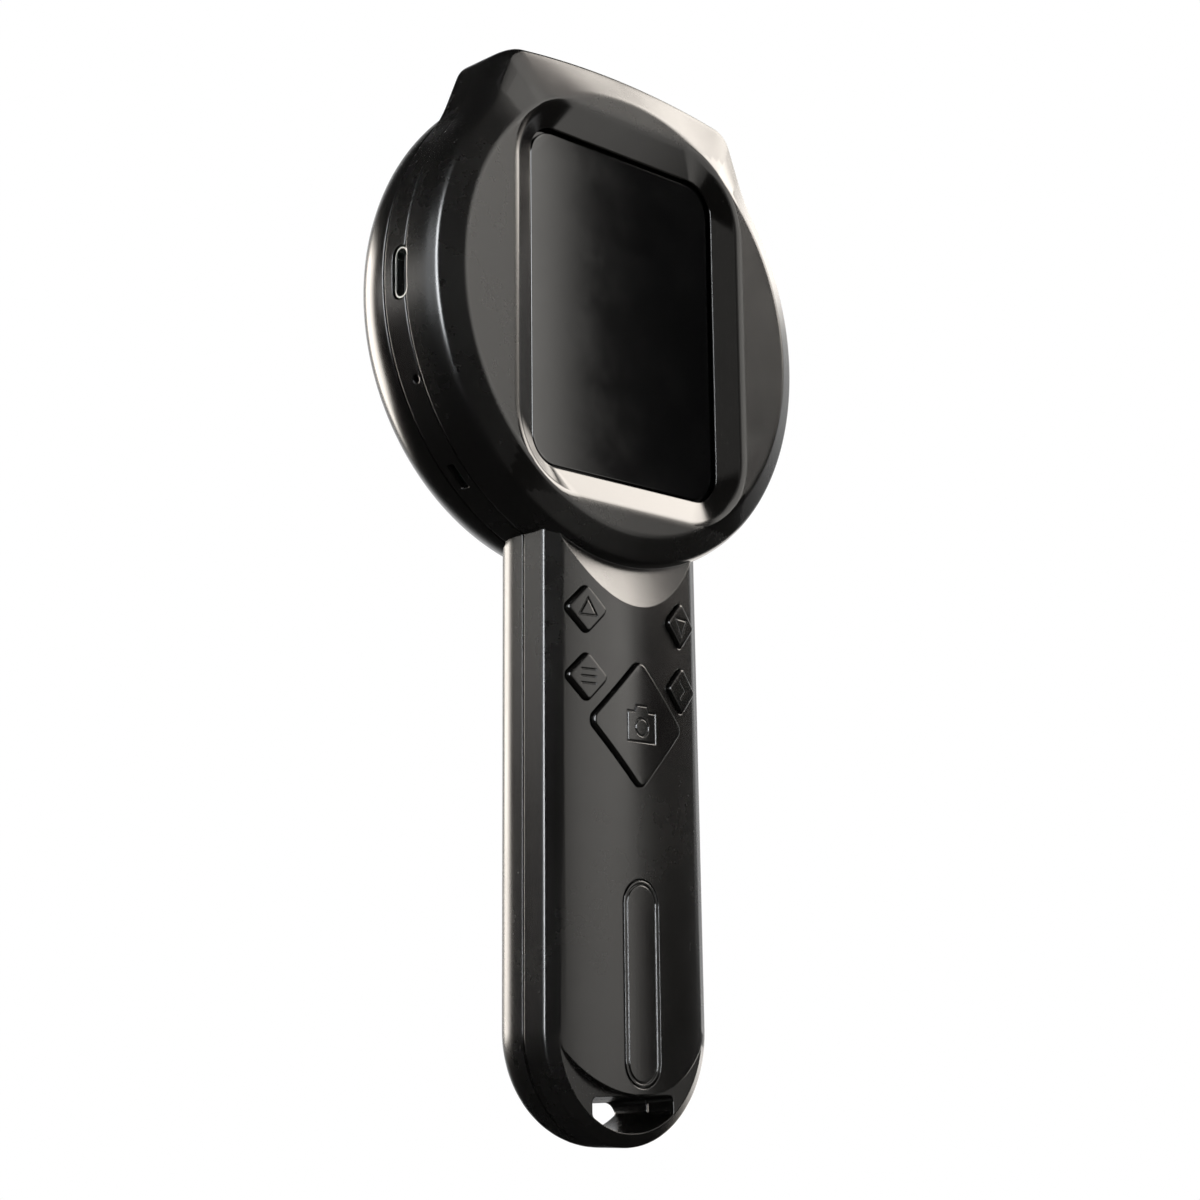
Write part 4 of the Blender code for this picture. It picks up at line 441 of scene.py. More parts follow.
def stepped_post(place, rows, steps=ROD_STEPS):
    return loft([layer(circle(radius, place, steps), depth) for radius, depth in rows])


def turned(profile, steps=TURNED_STEPS):
    """A closed profile of (radius, depth) points spun about the head's axis."""
    bm = bmesh.new()
    rows = []
    for step in range(steps):
        across, height = polar(1.0, 360 * step / steps)
        rows.append([bm.verts.new((radius * across, depth, radius * height)) for radius, depth in profile])
    for step in range(steps):
        skin(bm, rows[step - 1], rows[step])
    return object_from(bm)


def bake(obj):
    graph = bpy.context.evaluated_depsgraph_get()
    mesh = bpy.data.meshes.new_from_object(obj.evaluated_get(graph), depsgraph=graph)
    obj.modifiers.clear()
    old = obj.data
    obj.data = mesh
    bpy.data.meshes.remove(old)


def combine(target, tools, operation):
    """One exact Boolean of a piece with all its tools, which are then removed."""
    group = bpy.data.collections.new(operation)
    for tool in tools:
        group.objects.link(tool)
    modifier = target.modifiers.new(operation, "BOOLEAN")
    modifier.operation = operation
    modifier.solver = "EXACT"
    modifier.operand_type = "COLLECTION"
    modifier.collection = group
    bake(target)
    bpy.data.collections.remove(group)
    for tool in tools:
        mesh = tool.data
        bpy.data.objects.remove(tool)
        bpy.data.meshes.remove(mesh)


def cut(target, *tools):
    combine(target, tools, "DIFFERENCE")


def unite(target, *tools):
    combine(target, tools, "UNION")


def keep_inside(target, *tools):
    combine(target, tools, "INTERSECT")


def moved(obj, matrix):
    obj.data.transform(matrix)
    return obj


def at_bearing(obj, bearing):
    """Swings a piece drawn along +X round the head's axis."""
    return moved(obj, Matrix.Rotation(-math.radians(bearing), 4, "Y"))


def crown_depth(across):
    return CROWN_DEPTH + CROWN_RADIUS - math.sqrt(CROWN_RADIUS**2 - across**2)


def cut_swing(radius):
    """Half the angle of an arc that runs past both sides of the handle."""
    return math.degrees(math.asin(min(CUT_REACH / radius, 1.0)))


def crown_block(offset):
    """Everything behind the handle's crowned front, sunk by an offset along its normal."""
    radius = CROWN_RADIUS - offset
    swing = cut_swing(radius)
    front = arc((0, 0), radius, 90 + swing, 90 - swing, CROWN_STEPS)
    middle = CROWN_DEPTH + CROWN_RADIUS
    back = HANDLE_DEPTH + OVERRUN
    outline = [(across, middle - rise) for across, rise in front] + [(CUT_REACH, back), (-CUT_REACH, back)]
    ends = (END_HEIGHT - OVERRUN, -HEAD_RADIUS + HANDLE_WALL + NECK_RUN_IN + OVERRUN)
    return loft([[(x, y, end) for x, y in outline] for end in ends])


def scoop_cutter(offset):
    radius = SCOOP_RADIUS + offset
    swing = cut_swing(radius)
    floor = arc((0, 0), radius, 90 + swing, 90 - swing, CROWN_STEPS)
    front = -HANDLE_WALL - CHAMFER_DEPTH
    outline = [(across, rise - radius + offset) for across, rise in floor]
    outline += [(CUT_REACH, front), (-CUT_REACH, front)]
    cutter = loft([[(x, y, end) for x, y in outline] for end in (-SCOOP_DROP, SCOOP_LENGTH)])
    slope = Matrix.Rotation(-math.radians(SCOOP_SLOPE), 4, "X")
    return moved(cutter, Matrix.Translation((0, CROWN_DEPTH, below_neck(SCOOP_DROP))) @ slope)


def step_cutter(offset):
    centre = END_HEIGHT + STEP_RISE + STEP_RADIUS
    radius = STEP_RADIUS - offset
    swing = cut_swing(radius)
    outline = arc((0, centre), radius, -90 - swing, -90 + swing, CROWN_STEPS)
    low = END_HEIGHT - OVERRUN
    outline += [(outline[-1][0], low), (outline[0][0], low)]
    return prism(outline, -OVERRUN, STEP_DEPTH + offset)


def slot_prism(margin, start, end):
    return loft([layer(slot_outline_at(margin, depth), depth) for depth in (start, end)])


def keys():
    """Each key's name, centre, half diagonal and corner radius."""
    found = []
    for row, drop in (("upper", UPPER_KEY_DROP), ("lower", LOWER_KEY_DROP)):
        for side, across in (("left", -KEY_ACROSS), ("right", KEY_ACROSS)):
            found.append((f"{row}_{side}", (across, below_neck(drop)), KEY_HALF_DIAGONAL, KEY_CORNER_RADIUS))
    found.append(("capture", (0.0, below_neck(CAPTURE_DROP)), CAPTURE_HALF_DIAGONAL, CAPTURE_CORNER_RADIUS))
    return found


def pill_outline(margin):
    half_length = INLAY_LENGTH / 2 + margin
    half_width = INLAY_HALF_WIDTH + margin
    middle = END_HEIGHT + INLAY_RISE + INLAY_LENGTH / 2
    tip = half_length - half_width
    half = arc((0, middle - tip), half_width, -90, 0, ROUNDING_STEPS)
    half += arc((0, middle + tip), half_width, 0, 90, ROUNDING_STEPS)
    return mirrored(half)


def usb_bar(margin, start, end):
    """A bar of the receptacle's round-ended outline along +X."""
    half_thickness = USB_THICKNESS / 2 + margin
    tip = USB_WIDTH / 2 + margin - half_thickness
    outline = arc((BOARD_MIDDLE, tip), half_thickness, 0, 180, ROUNDING_STEPS)
    outline += arc((BOARD_MIDDLE, -tip), half_thickness, 180, 360, ROUNDING_STEPS)
    return bar(outline, start, end)


def side_cutters():
    """What the USB receptacle and the card slot take out of the head's wall."""
    usb = usb_bar(FIT_GAP, HEAD_RADIUS - USB_SETBACK - USB_LENGTH - FIT_GAP, WALL_OUT)
    half_width, half_thickness = CARD_SLOT_WIDTH / 2, CARD_SLOT_THICKNESS / 2
    card = block((WALL_IN, CARD_SLOT_MIDDLE - half_thickness, -half_width),
                 (WALL_OUT, CARD_SLOT_MIDDLE + half_thickness, half_width))
    return [at_bearing(usb, USB_BEARING), at_bearing(card, CARD_BEARING)]


def settled(inner, outer):
    """Rows between two edges whose depths settle like a stretched skin, so that no crease is left."""
    shares = np.linspace(0.0, 1.0, RING_STEPS + 1)[:, None, None]
    grid = np.array(inner) * (1.0 - shares) + np.array(outer) * shares
    across = np.linalg.norm(np.diff(grid, axis=0), axis=2)
    along = np.linalg.norm(grid - np.roll(grid, 1, axis=1), axis=2)[1:-1]
    before, after = along / across[:-1], along / across[1:]
    left, right = across[:-1] / along, across[1:] / np.roll(along, -1, axis=1)
    for _ in range(SETTLING_PASSES):
        depth = grid[:, :, 1]
        pull = before * depth[:-2] + after * depth[2:]
        pull += left * np.roll(depth[1:-1], 1, axis=1) + right * np.roll(depth[1:-1], -1, axis=1)
        grid[1:-1, :, 1] = pull / (before + after + left + right)
    return [[tuple(float(value) for value in point) for point in row] for row in grid]


def head_front_rings():
    """The disc, its softened edge, the sloped ring and the rounded shoulder down to the seam."""
    edge = head_outline(RING_EDGE_INSET)
    disc = [polar(DISC_RADIUS, math.degrees(math.atan2(height, across))) for across, height in edge]
    rows = settled(layer(disc, 0.0), layer(edge, RING_EDGE_DEPTH))
    kept = 1 - EDGE_SOFTENING / DISC_RADIUS
    flat = layer([(across * kept, height * kept) for across, height in disc], 0.0)
    rings = bezier_rows(flat, rows[0], rows[1]) + rows[2:-1]
    lean = RING_EDGE_DEPTH / (HEAD_RADIUS - RING_EDGE_INSET - DISC_RADIUS)
    corner = head_layer(0.0, RING_EDGE_DEPTH + RING_EDGE_INSET * lean)
    rings += bezier_rows(rows[-1], corner, head_layer(0.0, SHOULDER_END), ROUNDING_STEPS)
    return rings + [head_layer(0.0, FRONT_END - SEAM_SOFTENING), head_layer(SEAM_SOFTENING, FRONT_END)]


def recess_cutter():
    """The sloped recess with a softened brink, run out past the front plane and on through the lip."""
    foot = rounded_box(FOOT_HALF_WIDTH, FOOT_HALF_HEIGHT, RECESS_FOOT_RADIUS)
    rim = layer(opening(0.0), 0.0)
    bottom = layer(foot, RECESS_DEPTH)
    rise = BRINK_SOFTENING / SOFT_STEPS**2
    outer = layer(opening(BRINK_SOFTENING), -rise / SOFT_STEPS)
    inner = [tuple(Vector(a).lerp(Vector(b), BRINK_SOFTENING / (Vector(b) - Vector(a)).length))
             for a, b in zip(rim, bottom)]
    rings = [layer(opening(OVERRUN * 2), -OVERRUN)] + bezier_rows(outer, rim, inner)
    return loft(rings + [bottom, layer(foot, SURROUND_BACK + WINDOW_DEPTH + OVERRUN)])


def handle_front():
    """The handle's front half before its pocket and wells: chamfered, crowned, scooped and stepped."""
    slope = CHAMFER_RISE / CHAMFER_WIDTH
    deep_inset = CHAMFER_DEPTH / slope + CHAMFER_WIDTH
    rings = [handle_layer(deep_inset, CHAMFER_DEPTH - slope * deep_inset)]
    rings += bezier_rows(handle_layer(RIM_SOFTENING, CHAMFER_DEPTH - slope * RIM_SOFTENING),
                         handle_layer(0.0, CHAMFER_DEPTH), handle_layer(0.0, CHAMFER_DEPTH + RIM_SOFTENING))
    rings += [handle_layer(0.0, FRONT_END - SEAM_SOFTENING), handle_layer(SEAM_SOFTENING, FRONT_END)]
    handle = loft(rings)
    keep_inside(handle, crown_block(0.0))
    cut(handle, scoop_cutter(0.0), step_cutter(0.0))
    return handle


def build_front_shell():
    """The front half of the housing, with its recess, key wells, pill pocket, scoop, step and slot."""
    handle = handle_front()
    shell = loft(head_front_rings())
    unite(shell, handle)
    past = FRONT_END + OVERRUN * 2
    cavity = prism(head_outline(HEAD_WALL), HEAD_WALL, FRONT_END + OVERRUN)
    cut(cavity, prism(opening(SURROUND_WALL), 0.0, WINDOW_DEPTH + SURROUND_BACK))
    room = prism(handle_outline(HANDLE_WALL, NECK_TOP + HANDLE_WALL), 0.0, FRONT_END + OVERRUN)
    keep_inside(room, crown_block(HANDLE_WALL))
    cores = [scoop_cutter(HANDLE_WALL), step_cutter(HANDLE_WALL), slot_prism(SLOT_CASING, 0.0, past)]
    cores += [post(HANDLE_BOSS_RADIUS, place, 0.0, past) for place in SCREW_PLACES]
    cut(room, *cores)
    tools = [cavity, room, recess_cutter()] + side_cutters()
    tools.append(prism(window_border(FIT_GAP), WINDOW_DEPTH - FIT_GAP, FRONT_END))
    tools.append(slot_prism(0.0, -OVERRUN, FRONT_END + OVERRUN))
    tools.append(prism(pill_outline(FIT_GAP), -OVERRUN, CROWN_DEPTH + INLAY_THICKNESS + FIT_GAP))
    for _, centre, half_diagonal, radius in keys():
        through = crown_depth(abs(centre[0]) + half_diagonal) + HANDLE_WALL + OVERRUN
        tools.append(prism(diamond(centre, half_diagonal, radius, FIT_GAP), -OVERRUN, through))
    cut(shell, *tools)
    return shell


def handle_rear_solid(inset, start, top):
    rings = [handle_layer(inset, start, top)]
    rounding = BACK_ROUNDING - inset
    for step in range(ROUNDING_STEPS + 1):
        across, depth = polar(rounding, 90 * step / ROUNDING_STEPS)
        rings.append(handle_layer(inset + rounding - across, SIDE_DEPTH + depth, top))
    return loft(rings)


def build_rear_shell():
    """The rear half of the housing with its flange, side holes, slot and counterbores."""
    past = HANDLE_DEPTH + OVERRUN
    rings = [head_layer(SEAM_SOFTENING, REAR_START), head_layer(0.0, REAR_START + SEAM_SOFTENING)]
    rings += bezier_rows(head_layer(0.0, REAR_END - RIM_SOFTENING), head_layer(0.0, REAR_END),
                         head_layer(RIM_SOFTENING, REAR_END))
    shell = loft(rings)
    handle = handle_rear_solid(0.0, REAR_START, NECK_TOP)
    cut(handle, post(HEAD_RADIUS + FIT_GAP, (0.0, 0.0), REAR_END, past, TURNED_STEPS))
    unite(shell, handle)
    start = REAR_START - OVERRUN * 2
    room = handle_rear_solid(HANDLE_WALL, REAR_START - OVERRUN, NECK_TOP + HANDLE_WALL)
    cores = [post(HEAD_RADIUS + HANDLE_WALL + FIT_GAP, (0.0, 0.0), FLANGE_DEPTH + FIT_GAP, past,
                  TURNED_STEPS)]
    cores.append(slot_prism(SLOT_CASING, start, past))
    cores += [post(HANDLE_BOSS_RADIUS, place, start, past) for place in SCREW_PLACES]
    cut(room, *cores)
    tools = [room, prism(head_outline(HEAD_WALL), REAR_START - OVERRUN, FLANGE_DEPTH)]
    tools.append(post(FLANGE_RADIUS, (0.0, 0.0), REAR_START, REAR_END + OVERRUN, TURNED_STEPS))
    tools += [slot_prism(0.0, REAR_START - OVERRUN, past)] + side_cutters()
    pinhole = bar(circle(RESET_HOLE_RADIUS, (BOARD_MIDDLE, 0.0)))
    slit = rounded([(STATUS_DEPTH + side * STATUS_THICKNESS / 2, rise * STATUS_WIDTH / 2)
                    for side, rise in ((-1, -1), (1, -1), (1, 1), (-1, 1))], FIT_GAP)
    tools += [at_bearing(pinhole, RESET_BEARING), at_bearing(bar(slit), STATUS_BEARING)]
    for place in SCREW_PLACES:
        floor = REAR_START + HANDLE_SCREW_FLOOR
        rows = [(CLEARANCE_RADIUS, start), (CLEARANCE_RADIUS, floor), (COUNTERBORE_RADIUS, floor)]
        tools.append(stepped_post(place, rows + [(COUNTERBORE_RADIUS, past)]))
    cut(shell, *tools)
    return shell


def build_rear_cover():
    """The domed cover behind the rim line, with its hole for the hood."""
    side_end = COVER_START + COVER_SIDE
    hole = HOOD_RADIUS + FIT_GAP
    soft = SEAM_SOFTENING
    centre = HEAD_RADIUS - COVER_ROUNDING
    profile = [(HEAD_RADIUS - soft, COVER_START), (HEAD_RADIUS, COVER_START + soft)]
    profile += arc((centre, side_end), COVER_ROUNDING, 0, 90, ROUNDING_STEPS * 2)
    profile += [(hole + soft, COVER_END), (hole, COVER_END - soft), (hole, COVER_END - COVER_WALL)]
    profile += arc((centre, side_end), COVER_ROUNDING - COVER_WALL, 90, 0, ROUNDING_STEPS)
    profile.append((HEAD_RADIUS - COVER_WALL, COVER_START))
    return turned(profile)


def build_hood():
    """The hood round the lens, each edge of its profile softened."""
    seat = LIGHT_WINDOW_DEPTH - FIT_GAP
    room = HOOD_BORE + LIGHT_WINDOW_SEAT
    start = COVER_END - COVER_WALL - FIT_GAP
    collar = COVER_END + FIT_GAP
    profile = [
        (HOOD_RADIUS, start),
        (HOOD_RADIUS, collar),
        (HOOD_RADIUS + HOOD_COLLAR, collar),
        (HOOD_RADIUS + HOOD_COLLAR, collar + HOOD_COLLAR_HEIGHT),
        (HOOD_RADIUS, collar + HOOD_COLLAR_HEIGHT + HOOD_COLLAR),
        (HOOD_END_RADIUS, HOOD_END),
        (HOOD_END_RADIUS - HOOD_END_WALL, HOOD_END),
        (room, LIGHT_WINDOW_END + HOOD_COLLAR),
        (room, seat),
        (HOOD_BORE, seat),
        (HOOD_BORE, start),
    ]
    return turned(rounded(profile, SEAM_SOFTENING))


def build_barrel():
    profile = [(BARREL_RADIUS, BARREL_START), (BARREL_RADIUS, BARREL_END), (BARREL_LEDGE_BORE, BARREL_END)]
    profile += [(BARREL_LEDGE_BORE, BARREL_END - BARREL_LEDGE), (BARREL_BORE, BARREL_END - BARREL_LEDGE)]
    profile.append((BARREL_BORE, BARREL_START))
    return turned(rounded(profile, TURNED_SOFTENING), TURNED_STEPS // 2)


def build_objective():
    """The front lens with a domed face."""
    radius = BARREL_BORE - FIT_GAP
    end = BARREL_END - BARREL_LEDGE - FIT_GAP
    rings = [layer(circle(radius, steps=TURNED_STEPS // 2), end - LENS_THICKNESS)]
    for step in range(SOFT_STEPS * 2 + 1):
        across, rise = polar(1.0, LENS_SWING * step / (SOFT_STEPS * 2))
        dome = end - LENS_DOME + LENS_DOME * rise
        rings.append(layer(circle(radius * across, steps=TURNED_STEPS // 2), dome))
    return loft(rings)


def build_light_window():
    profile = [(BARREL_RADIUS + FIT_GAP, LIGHT_WINDOW_DEPTH), (BARREL_RADIUS + FIT_GAP, LIGHT_WINDOW_END)]
    rim = HOOD_BORE + LIGHT_WINDOW_SEAT - FIT_GAP
    profile += [(rim, LIGHT_WINDOW_END), (rim, LIGHT_WINDOW_DEPTH)]
    return turned(rounded(profile, TURNED_SOFTENING))


def build_usb_shell():
    mouth = HEAD_RADIUS - USB_SETBACK
    back = mouth - USB_LENGTH
    shell = usb_bar(0.0, back, mouth)
    cut(shell, usb_bar(-USB_SHEET, back + USB_SHEET, mouth + OVERRUN))
    return at_bearing(shell, USB_BEARING)


def build_key(centre, half_diagonal, radius, lines):
    """A diamond cap that follows the crown, with a softened rim, an engraved sign, its flange and stem."""
    wall_back = HANDLE_WALL + FIT_GAP
    outline = diamond(centre, half_diagonal, radius)
    inner = diamond(centre, half_diagonal, radius, -KEY_EDGE_BEVEL)
    sides = zip(outline, outline[1:] + outline[:1])
    counts = [max(1, round(math.dist(a, b) / KEY_FACE_STEP)) for a, b in sides]

    def ring(points, rise, share=1.0):
        placed = []
        for index, steps in enumerate(counts):
            here, there = points[index], points[(index + 1) % len(points)]
            for step in range(steps):
                across = here[0] + (there[0] - here[0]) * step / steps
                height = here[1] + (there[1] - here[1]) * step / steps
                across = centre[0] + (across - centre[0]) * share
                height = centre[1] + (height - centre[1]) * share
                placed.append((across, crown_depth(across) - KEY_PROUD + rise, height))
        return placed

    rings = [ring(inner, 0.0, share / KEY_FACE_RINGS) for share in range(1, KEY_FACE_RINGS)]
    rings += bezier_rows(ring(inner, 0.0), ring(outline, 0.0), ring(outline, KEY_EDGE_BEVEL))
    rings.append(ring(outline, KEY_PROUD + wall_back + KEY_FLANGE_THICKNESS / 2))
    cap = loft(rings)
    flange = prism(diamond(centre, half_diagonal, radius, KEY_FLANGE_MARGIN), 0.0, KEY_STEM_END + OVERRUN)
    keep_inside(flange, crown_block(wall_back))
    cut(flange, crown_block(wall_back + KEY_FLANGE_THICKNESS))
    stem = post(KEY_STEM_RADIUS, centre, crown_depth(centre[0]) + HANDLE_WALL, KEY_STEM_END)
    unite(cap, flange, stem)
    for points, closed in lines:
        cut(cap, stroke(points, centre, closed))
    return cap


def build_inlay():
    """The pill: a flush plate with a fine groove inside its rim."""
    plate = prism(pill_outline(0.0), -OVERRUN, CROWN_DEPTH + INLAY_THICKNESS)
    keep_inside(plate, crown_block(0.0))
    groove = prism(pill_outline(-INLAY_EDGE), -OVERRUN, CROWN_DEPTH + FIT_GAP)
    cut(groove, prism(pill_outline(-INLAY_EDGE - MARK_LINE), -OVERRUN * 2, OVERRUN))
    cut(plate, groove)
    return plate


def build_window():
    """The screen's cover: a raised pane with a softened rim, and a sunk black border round it."""
    def pane(inset, depth):
        return layer(rounded_box(SCREEN_HALF_WIDTH - inset, SCREEN_HALF_HEIGHT - inset,
                                 SCREEN_CORNER_RADIUS - inset), WINDOW_DEPTH + depth)

    plate = prism(window_border(0.0), WINDOW_DEPTH + BORDER_SUNK, WINDOW_DEPTH + WINDOW_THICKNESS)
    rings = bezier_rows(pane(PANE_SOFTENING, 0.0), pane(0.0, 0.0), pane(0.0, PANE_SOFTENING))
    unite(plate, loft(rings + [pane(0.0, WINDOW_THICKNESS - FIT_GAP / 2)]))
    return plate


def stroke(points, centre, closed):
    """A cutter for an engraved line through points of a key's face: flat floor, leaning sides."""
    places = [Vector(point) / MILLIMETRES for point in points]
    count = len(places)
    section = [(-MARK_TOP, -MARK_DEPTH), (-MARK_FLOOR, MARK_DEPTH)]
    section += [(-side, rise) for side, rise in reversed(section)]
    bm = bmesh.new()
    rows = []
    for index, place in enumerate(places):
        before = places[index - 1] if index or closed else place * 2 - places[1]
        after = places[(index + 1) % count] if index + 1 < count or closed else place * 2 - places[index - 1]
        first, second = (place - before).normalized(), (after - place).normalized()
        along = (first + second).normalized()
        square = Vector((-along.y, along.x)) / max(along.dot(second), MITRE_LIMIT)
        row = []
        for side, rise in section:
            spot = place + square * side * MARK_LINE
            across = centre[0] + spot.x
            row.append(bm.verts.new((across, crown_depth(across) - KEY_PROUD + rise, centre[1] + spot.y)))
        rows.append(row)
    for low, high in zip(rows, rows[1:] + rows[:1] if closed else rows[1:]):
        skin(bm, low, high)
    if not closed:
        bm.faces.new(rows[0])
        bm.faces.new(rows[-1])
    bmesh.ops.triangulate(bm, faces=bm.faces)
    return object_from(bm)


def key_signs():
    """Plain generic signs, as lines of points in millimetres from the key's centre: up, menu, down, forward
    and a camera's outline."""
    body = [(-3.3, -3.0), (3.3, -3.0), (3.3, 2.1), (1.7, 2.1), (1.3, 3.2), (-1.3, 3.2), (-1.7, 2.1),
            (-3.3, 2.1)]
    lens = arc((0.0, -0.5), 1.5, 0, 360, ROD_STEPS)[:-1]
    return {
        "upper_left": [([(-1.7, -1.1), (1.7, -1.1), (0.0, 1.8)], True)],
        "lower_left": [([(-1.5, z), (1.5, z)], False) for z in (-1.2, 0.0, 1.2)],
        "upper_right": [([(-1.7, 1.1), (0.0, -1.8), (1.7, 1.1)], True)],
        "lower_right": [([(-0.8, 1.6), (0.9, 0.0), (-0.8, -1.6)], False)],
        "capture": [(body, True), (lens, True)],
    }


# Materials. A noise is its scale, detail and roughness; shades are positions with shares of the colour;
# a sheen is the roughness's lowest and highest value, or its lowest and highest share of the one given
NOISE_SPAN = (0.3, 0.7)
NARROW_SPAN = (0.35, 0.65)
GLASS_SPAN = (0.35, 0.7)
SLOW_NOISE = (38.0, 4.0, 0.6)
RUB_NOISE = (228.0, 3.0, 0.7)
GRAIN_NOISE = (2400.0, 2.0, 0.5)
DISPLAY_NOISE = (30.0, 3.0, 0.5)
GLASS_NOISE = (90.0, 4.0, 0.7)
CLEAR_NOISE = (220.0, 3.0, 0.6)
LINE_NOISE = (6.0, 4.0, 0.65)
SPOT_NOISE = (120.0, 3.0, 0.5)
MASK_NOISE = (70.0, 2.0, 0.5)
SPECK_DETAIL = (3.0, 0.6)
CLOUD_DETAIL = (2.0, 0.5)
SPECKS_PER_CLOUD = 12
# PLASTIC_SHADES above 0.6 are reached only along edges, where they are a painted highlight
PLASTIC_SHADES = ((0.0, 0.86), (0.6, 1.14), (1.0, 1.7))
CLEAR_SHADES = ((0.3, 0.94), (0.7, 1.0))
METAL_SHADES = ((0.3, 0.88), (0.7, 1.0))
MASK_SHADES = ((0.0, 0.8), (0.5, 1.0), (1.0, 1.6))
SPECKLED_SHADES = ((0.0, 0.75), (0.5, 1.0), (1.0, 1.25))
DISPLAY_STOPS = ((0.0, (0.0032, 0.0032, 0.0034)), (0.4, (0.0022, 0.0022, 0.0023)),
                 (1.0, (0.0010, 0.0010, 0.0010)))
GLASS_SHEEN = (0.05, 0.085)
CLEAR_SHEEN = (0.8, 1.2)
METAL_SHEEN = (0.8, 1.25)
MASK_SHEEN = (0.30, 0.42)
SPECKLED_SHEEN = (0.85, 1.1)
FINE_BUMP = 0.00004
ROUGH_BUMP = 0.00005
METAL_GRAIN = 0.08
MASK_GRAIN = 0.25
EDGE_RADIUS = 0.00028
EDGE_SAMPLES = 8
EDGE_MATCH = (0.90, 0.998)
# How far the colour along every edge is lightened, a painted highlight
PAINTED_EDGE_HIGHLIGHT = 0.4
EDGE_POLISH = 0.5
SLOW_TONE = 0.6
BORDER_BLUR = 0.0001
DISPLAY_CLOUD = 0.35
PLASTIC_IOR = 1.5
ACRYLIC_IOR = 1.49
GLASS_IOR = 1.52
LENS_IOR = 1.55
TRACK_SCALE = 180.0
TRACK_GAP = 0.06


def add(tree, kind, inputs=None, **settings):
    """A node with its settings; each input gets a value, or is fed by a socket."""
    node = tree.nodes.new("ShaderNode" + kind)
    for key, value in settings.items():
        setattr(node, key, value)
    for key, value in (inputs or {}).items():
        if isinstance(value, bpy.types.NodeSocket):
            tree.links.new(value, node.inputs[key])
        else:
            node.inputs[key].default_value = value
    return node


def noise(tree, place, scale, detail, roughness):
    inputs = {"Vector": place, "Scale": scale, "Detail": detail, "Roughness": roughness}
    return add(tree, "TexNoise", inputs).outputs["Fac"]


def ranged(tree, value, low, high, span=NOISE_SPAN, **settings):
    """A value's span mapped to another, held at its ends."""
    inputs = {"Value": value, "From Min": span[0], "From Max": span[1], "To Min": low, "To Max": high}
    return add(tree, "MapRange", inputs, **settings).outputs["Result"]


def maths(tree, operation, first, second=0.0):
    return add(tree, "Math", {0: first, 1: second}, operation=operation).outputs[0]


def vectors(tree, operation, first, second):
    """A sum or difference of vectors, or a vector scaled by a value."""
    inputs = {0: first, "Scale" if operation == "SCALE" else 1: second}
    return add(tree, "VectorMath", inputs, operation=operation).outputs["Vector"]


def bumped(tree, height, strength, distance, **base):
    inputs = {"Height": height, "Strength": strength, "Distance": distance}
    return add(tree, "Bump", {**inputs, **base}).outputs["Normal"]


def ramp(tree, value, stops):
    """Colours along a value, from (position, colour) stops."""
    node = add(tree, "ValToRGB", {"Fac": value})
    marks = node.color_ramp.elements
    while len(marks) < len(stops):
        marks.new(0.5)
    for mark, (position, colour) in zip(marks, stops):
        mark.position = position
        mark.color = (*colour, 1.0)
    return node.outputs["Color"]


def shaded(tree, value, colour, shades):
    stops = [(position, tuple(min(channel * share, 1.0) for channel in colour)) for position, share in shades]
    return ramp(tree, value, stops)


def sheen_span(roughness, shares):
    return [min(roughness * share, 1.0) for share in shares]


def new_material(name, values):
    """A material with its shader's plain values, its node tree, and the place on the piece."""
    material = bpy.data.materials.new(name)
    material.use_nodes = True
    tree = material.node_tree
    for key, value in values.items():
        tree.nodes["Principled BSDF"].inputs[key].default_value = value
    return material, tree, add(tree, "TexCoord").outputs["Object"]


def wired(material, tint, sheen, normal=None):
    """Feeds a material's shader its colour, roughness and bump."""
    tree = material.node_tree
    shader = tree.nodes["Principled BSDF"]
    for key, socket in (("Base Color", tint), ("Roughness", sheen), ("Normal", normal)):
        if socket is not None:
            tree.links.new(socket, shader.inputs[key])
    return material


def plastic(name, colour, roughness, grain=0.05, spread=0.03):
    """Moulded plastic: a fine grain, slow changes of sheen and tone, rims polished by handling, and a painted
    highlight that lightens the colour along every edge.
    """
    material, tree, place = new_material(name, {"IOR": PLASTIC_IOR})
    slow = noise(tree, place, *SLOW_NOISE)
    rub = noise(tree, place, *RUB_NOISE)
    fine = noise(tree, place, *GRAIN_NOISE)
    bevel = add(tree, "Bevel", {"Radius": EDGE_RADIUS}, samples=EDGE_SAMPLES).outputs["Normal"]
    flat = add(tree, "NewGeometry").outputs["Normal"]
    match = add(tree, "VectorMath", {0: bevel, 1: flat}, operation="DOT_PRODUCT").outputs["Value"]
    rim = ranged(tree, match, 1.0, 0.0, EDGE_MATCH)
    # The edge mask lightens the tone along every edge, a painted highlight, and lowers the roughness there
    tone = maths(tree, "ADD", ranged(tree, slow, 0.0, SLOW_TONE), maths(tree, "MULTIPLY", rim, PAINTED_EDGE_HIGHLIGHT))
    sheen = maths(tree, "ADD", ranged(tree, slow, roughness - spread, roughness + spread),
                  ranged(tree, rub, -spread / 3, spread / 3, NARROW_SPAN))
    sheen = maths(tree, "SUBTRACT", sheen, maths(tree, "MULTIPLY", rim, roughness * EDGE_POLISH))
    normal = bumped(tree, fine, grain, FINE_BUMP, Normal=bevel)
    return wired(material, shaded(tree, tone, colour, PLASTIC_SHADES), sheen, normal)


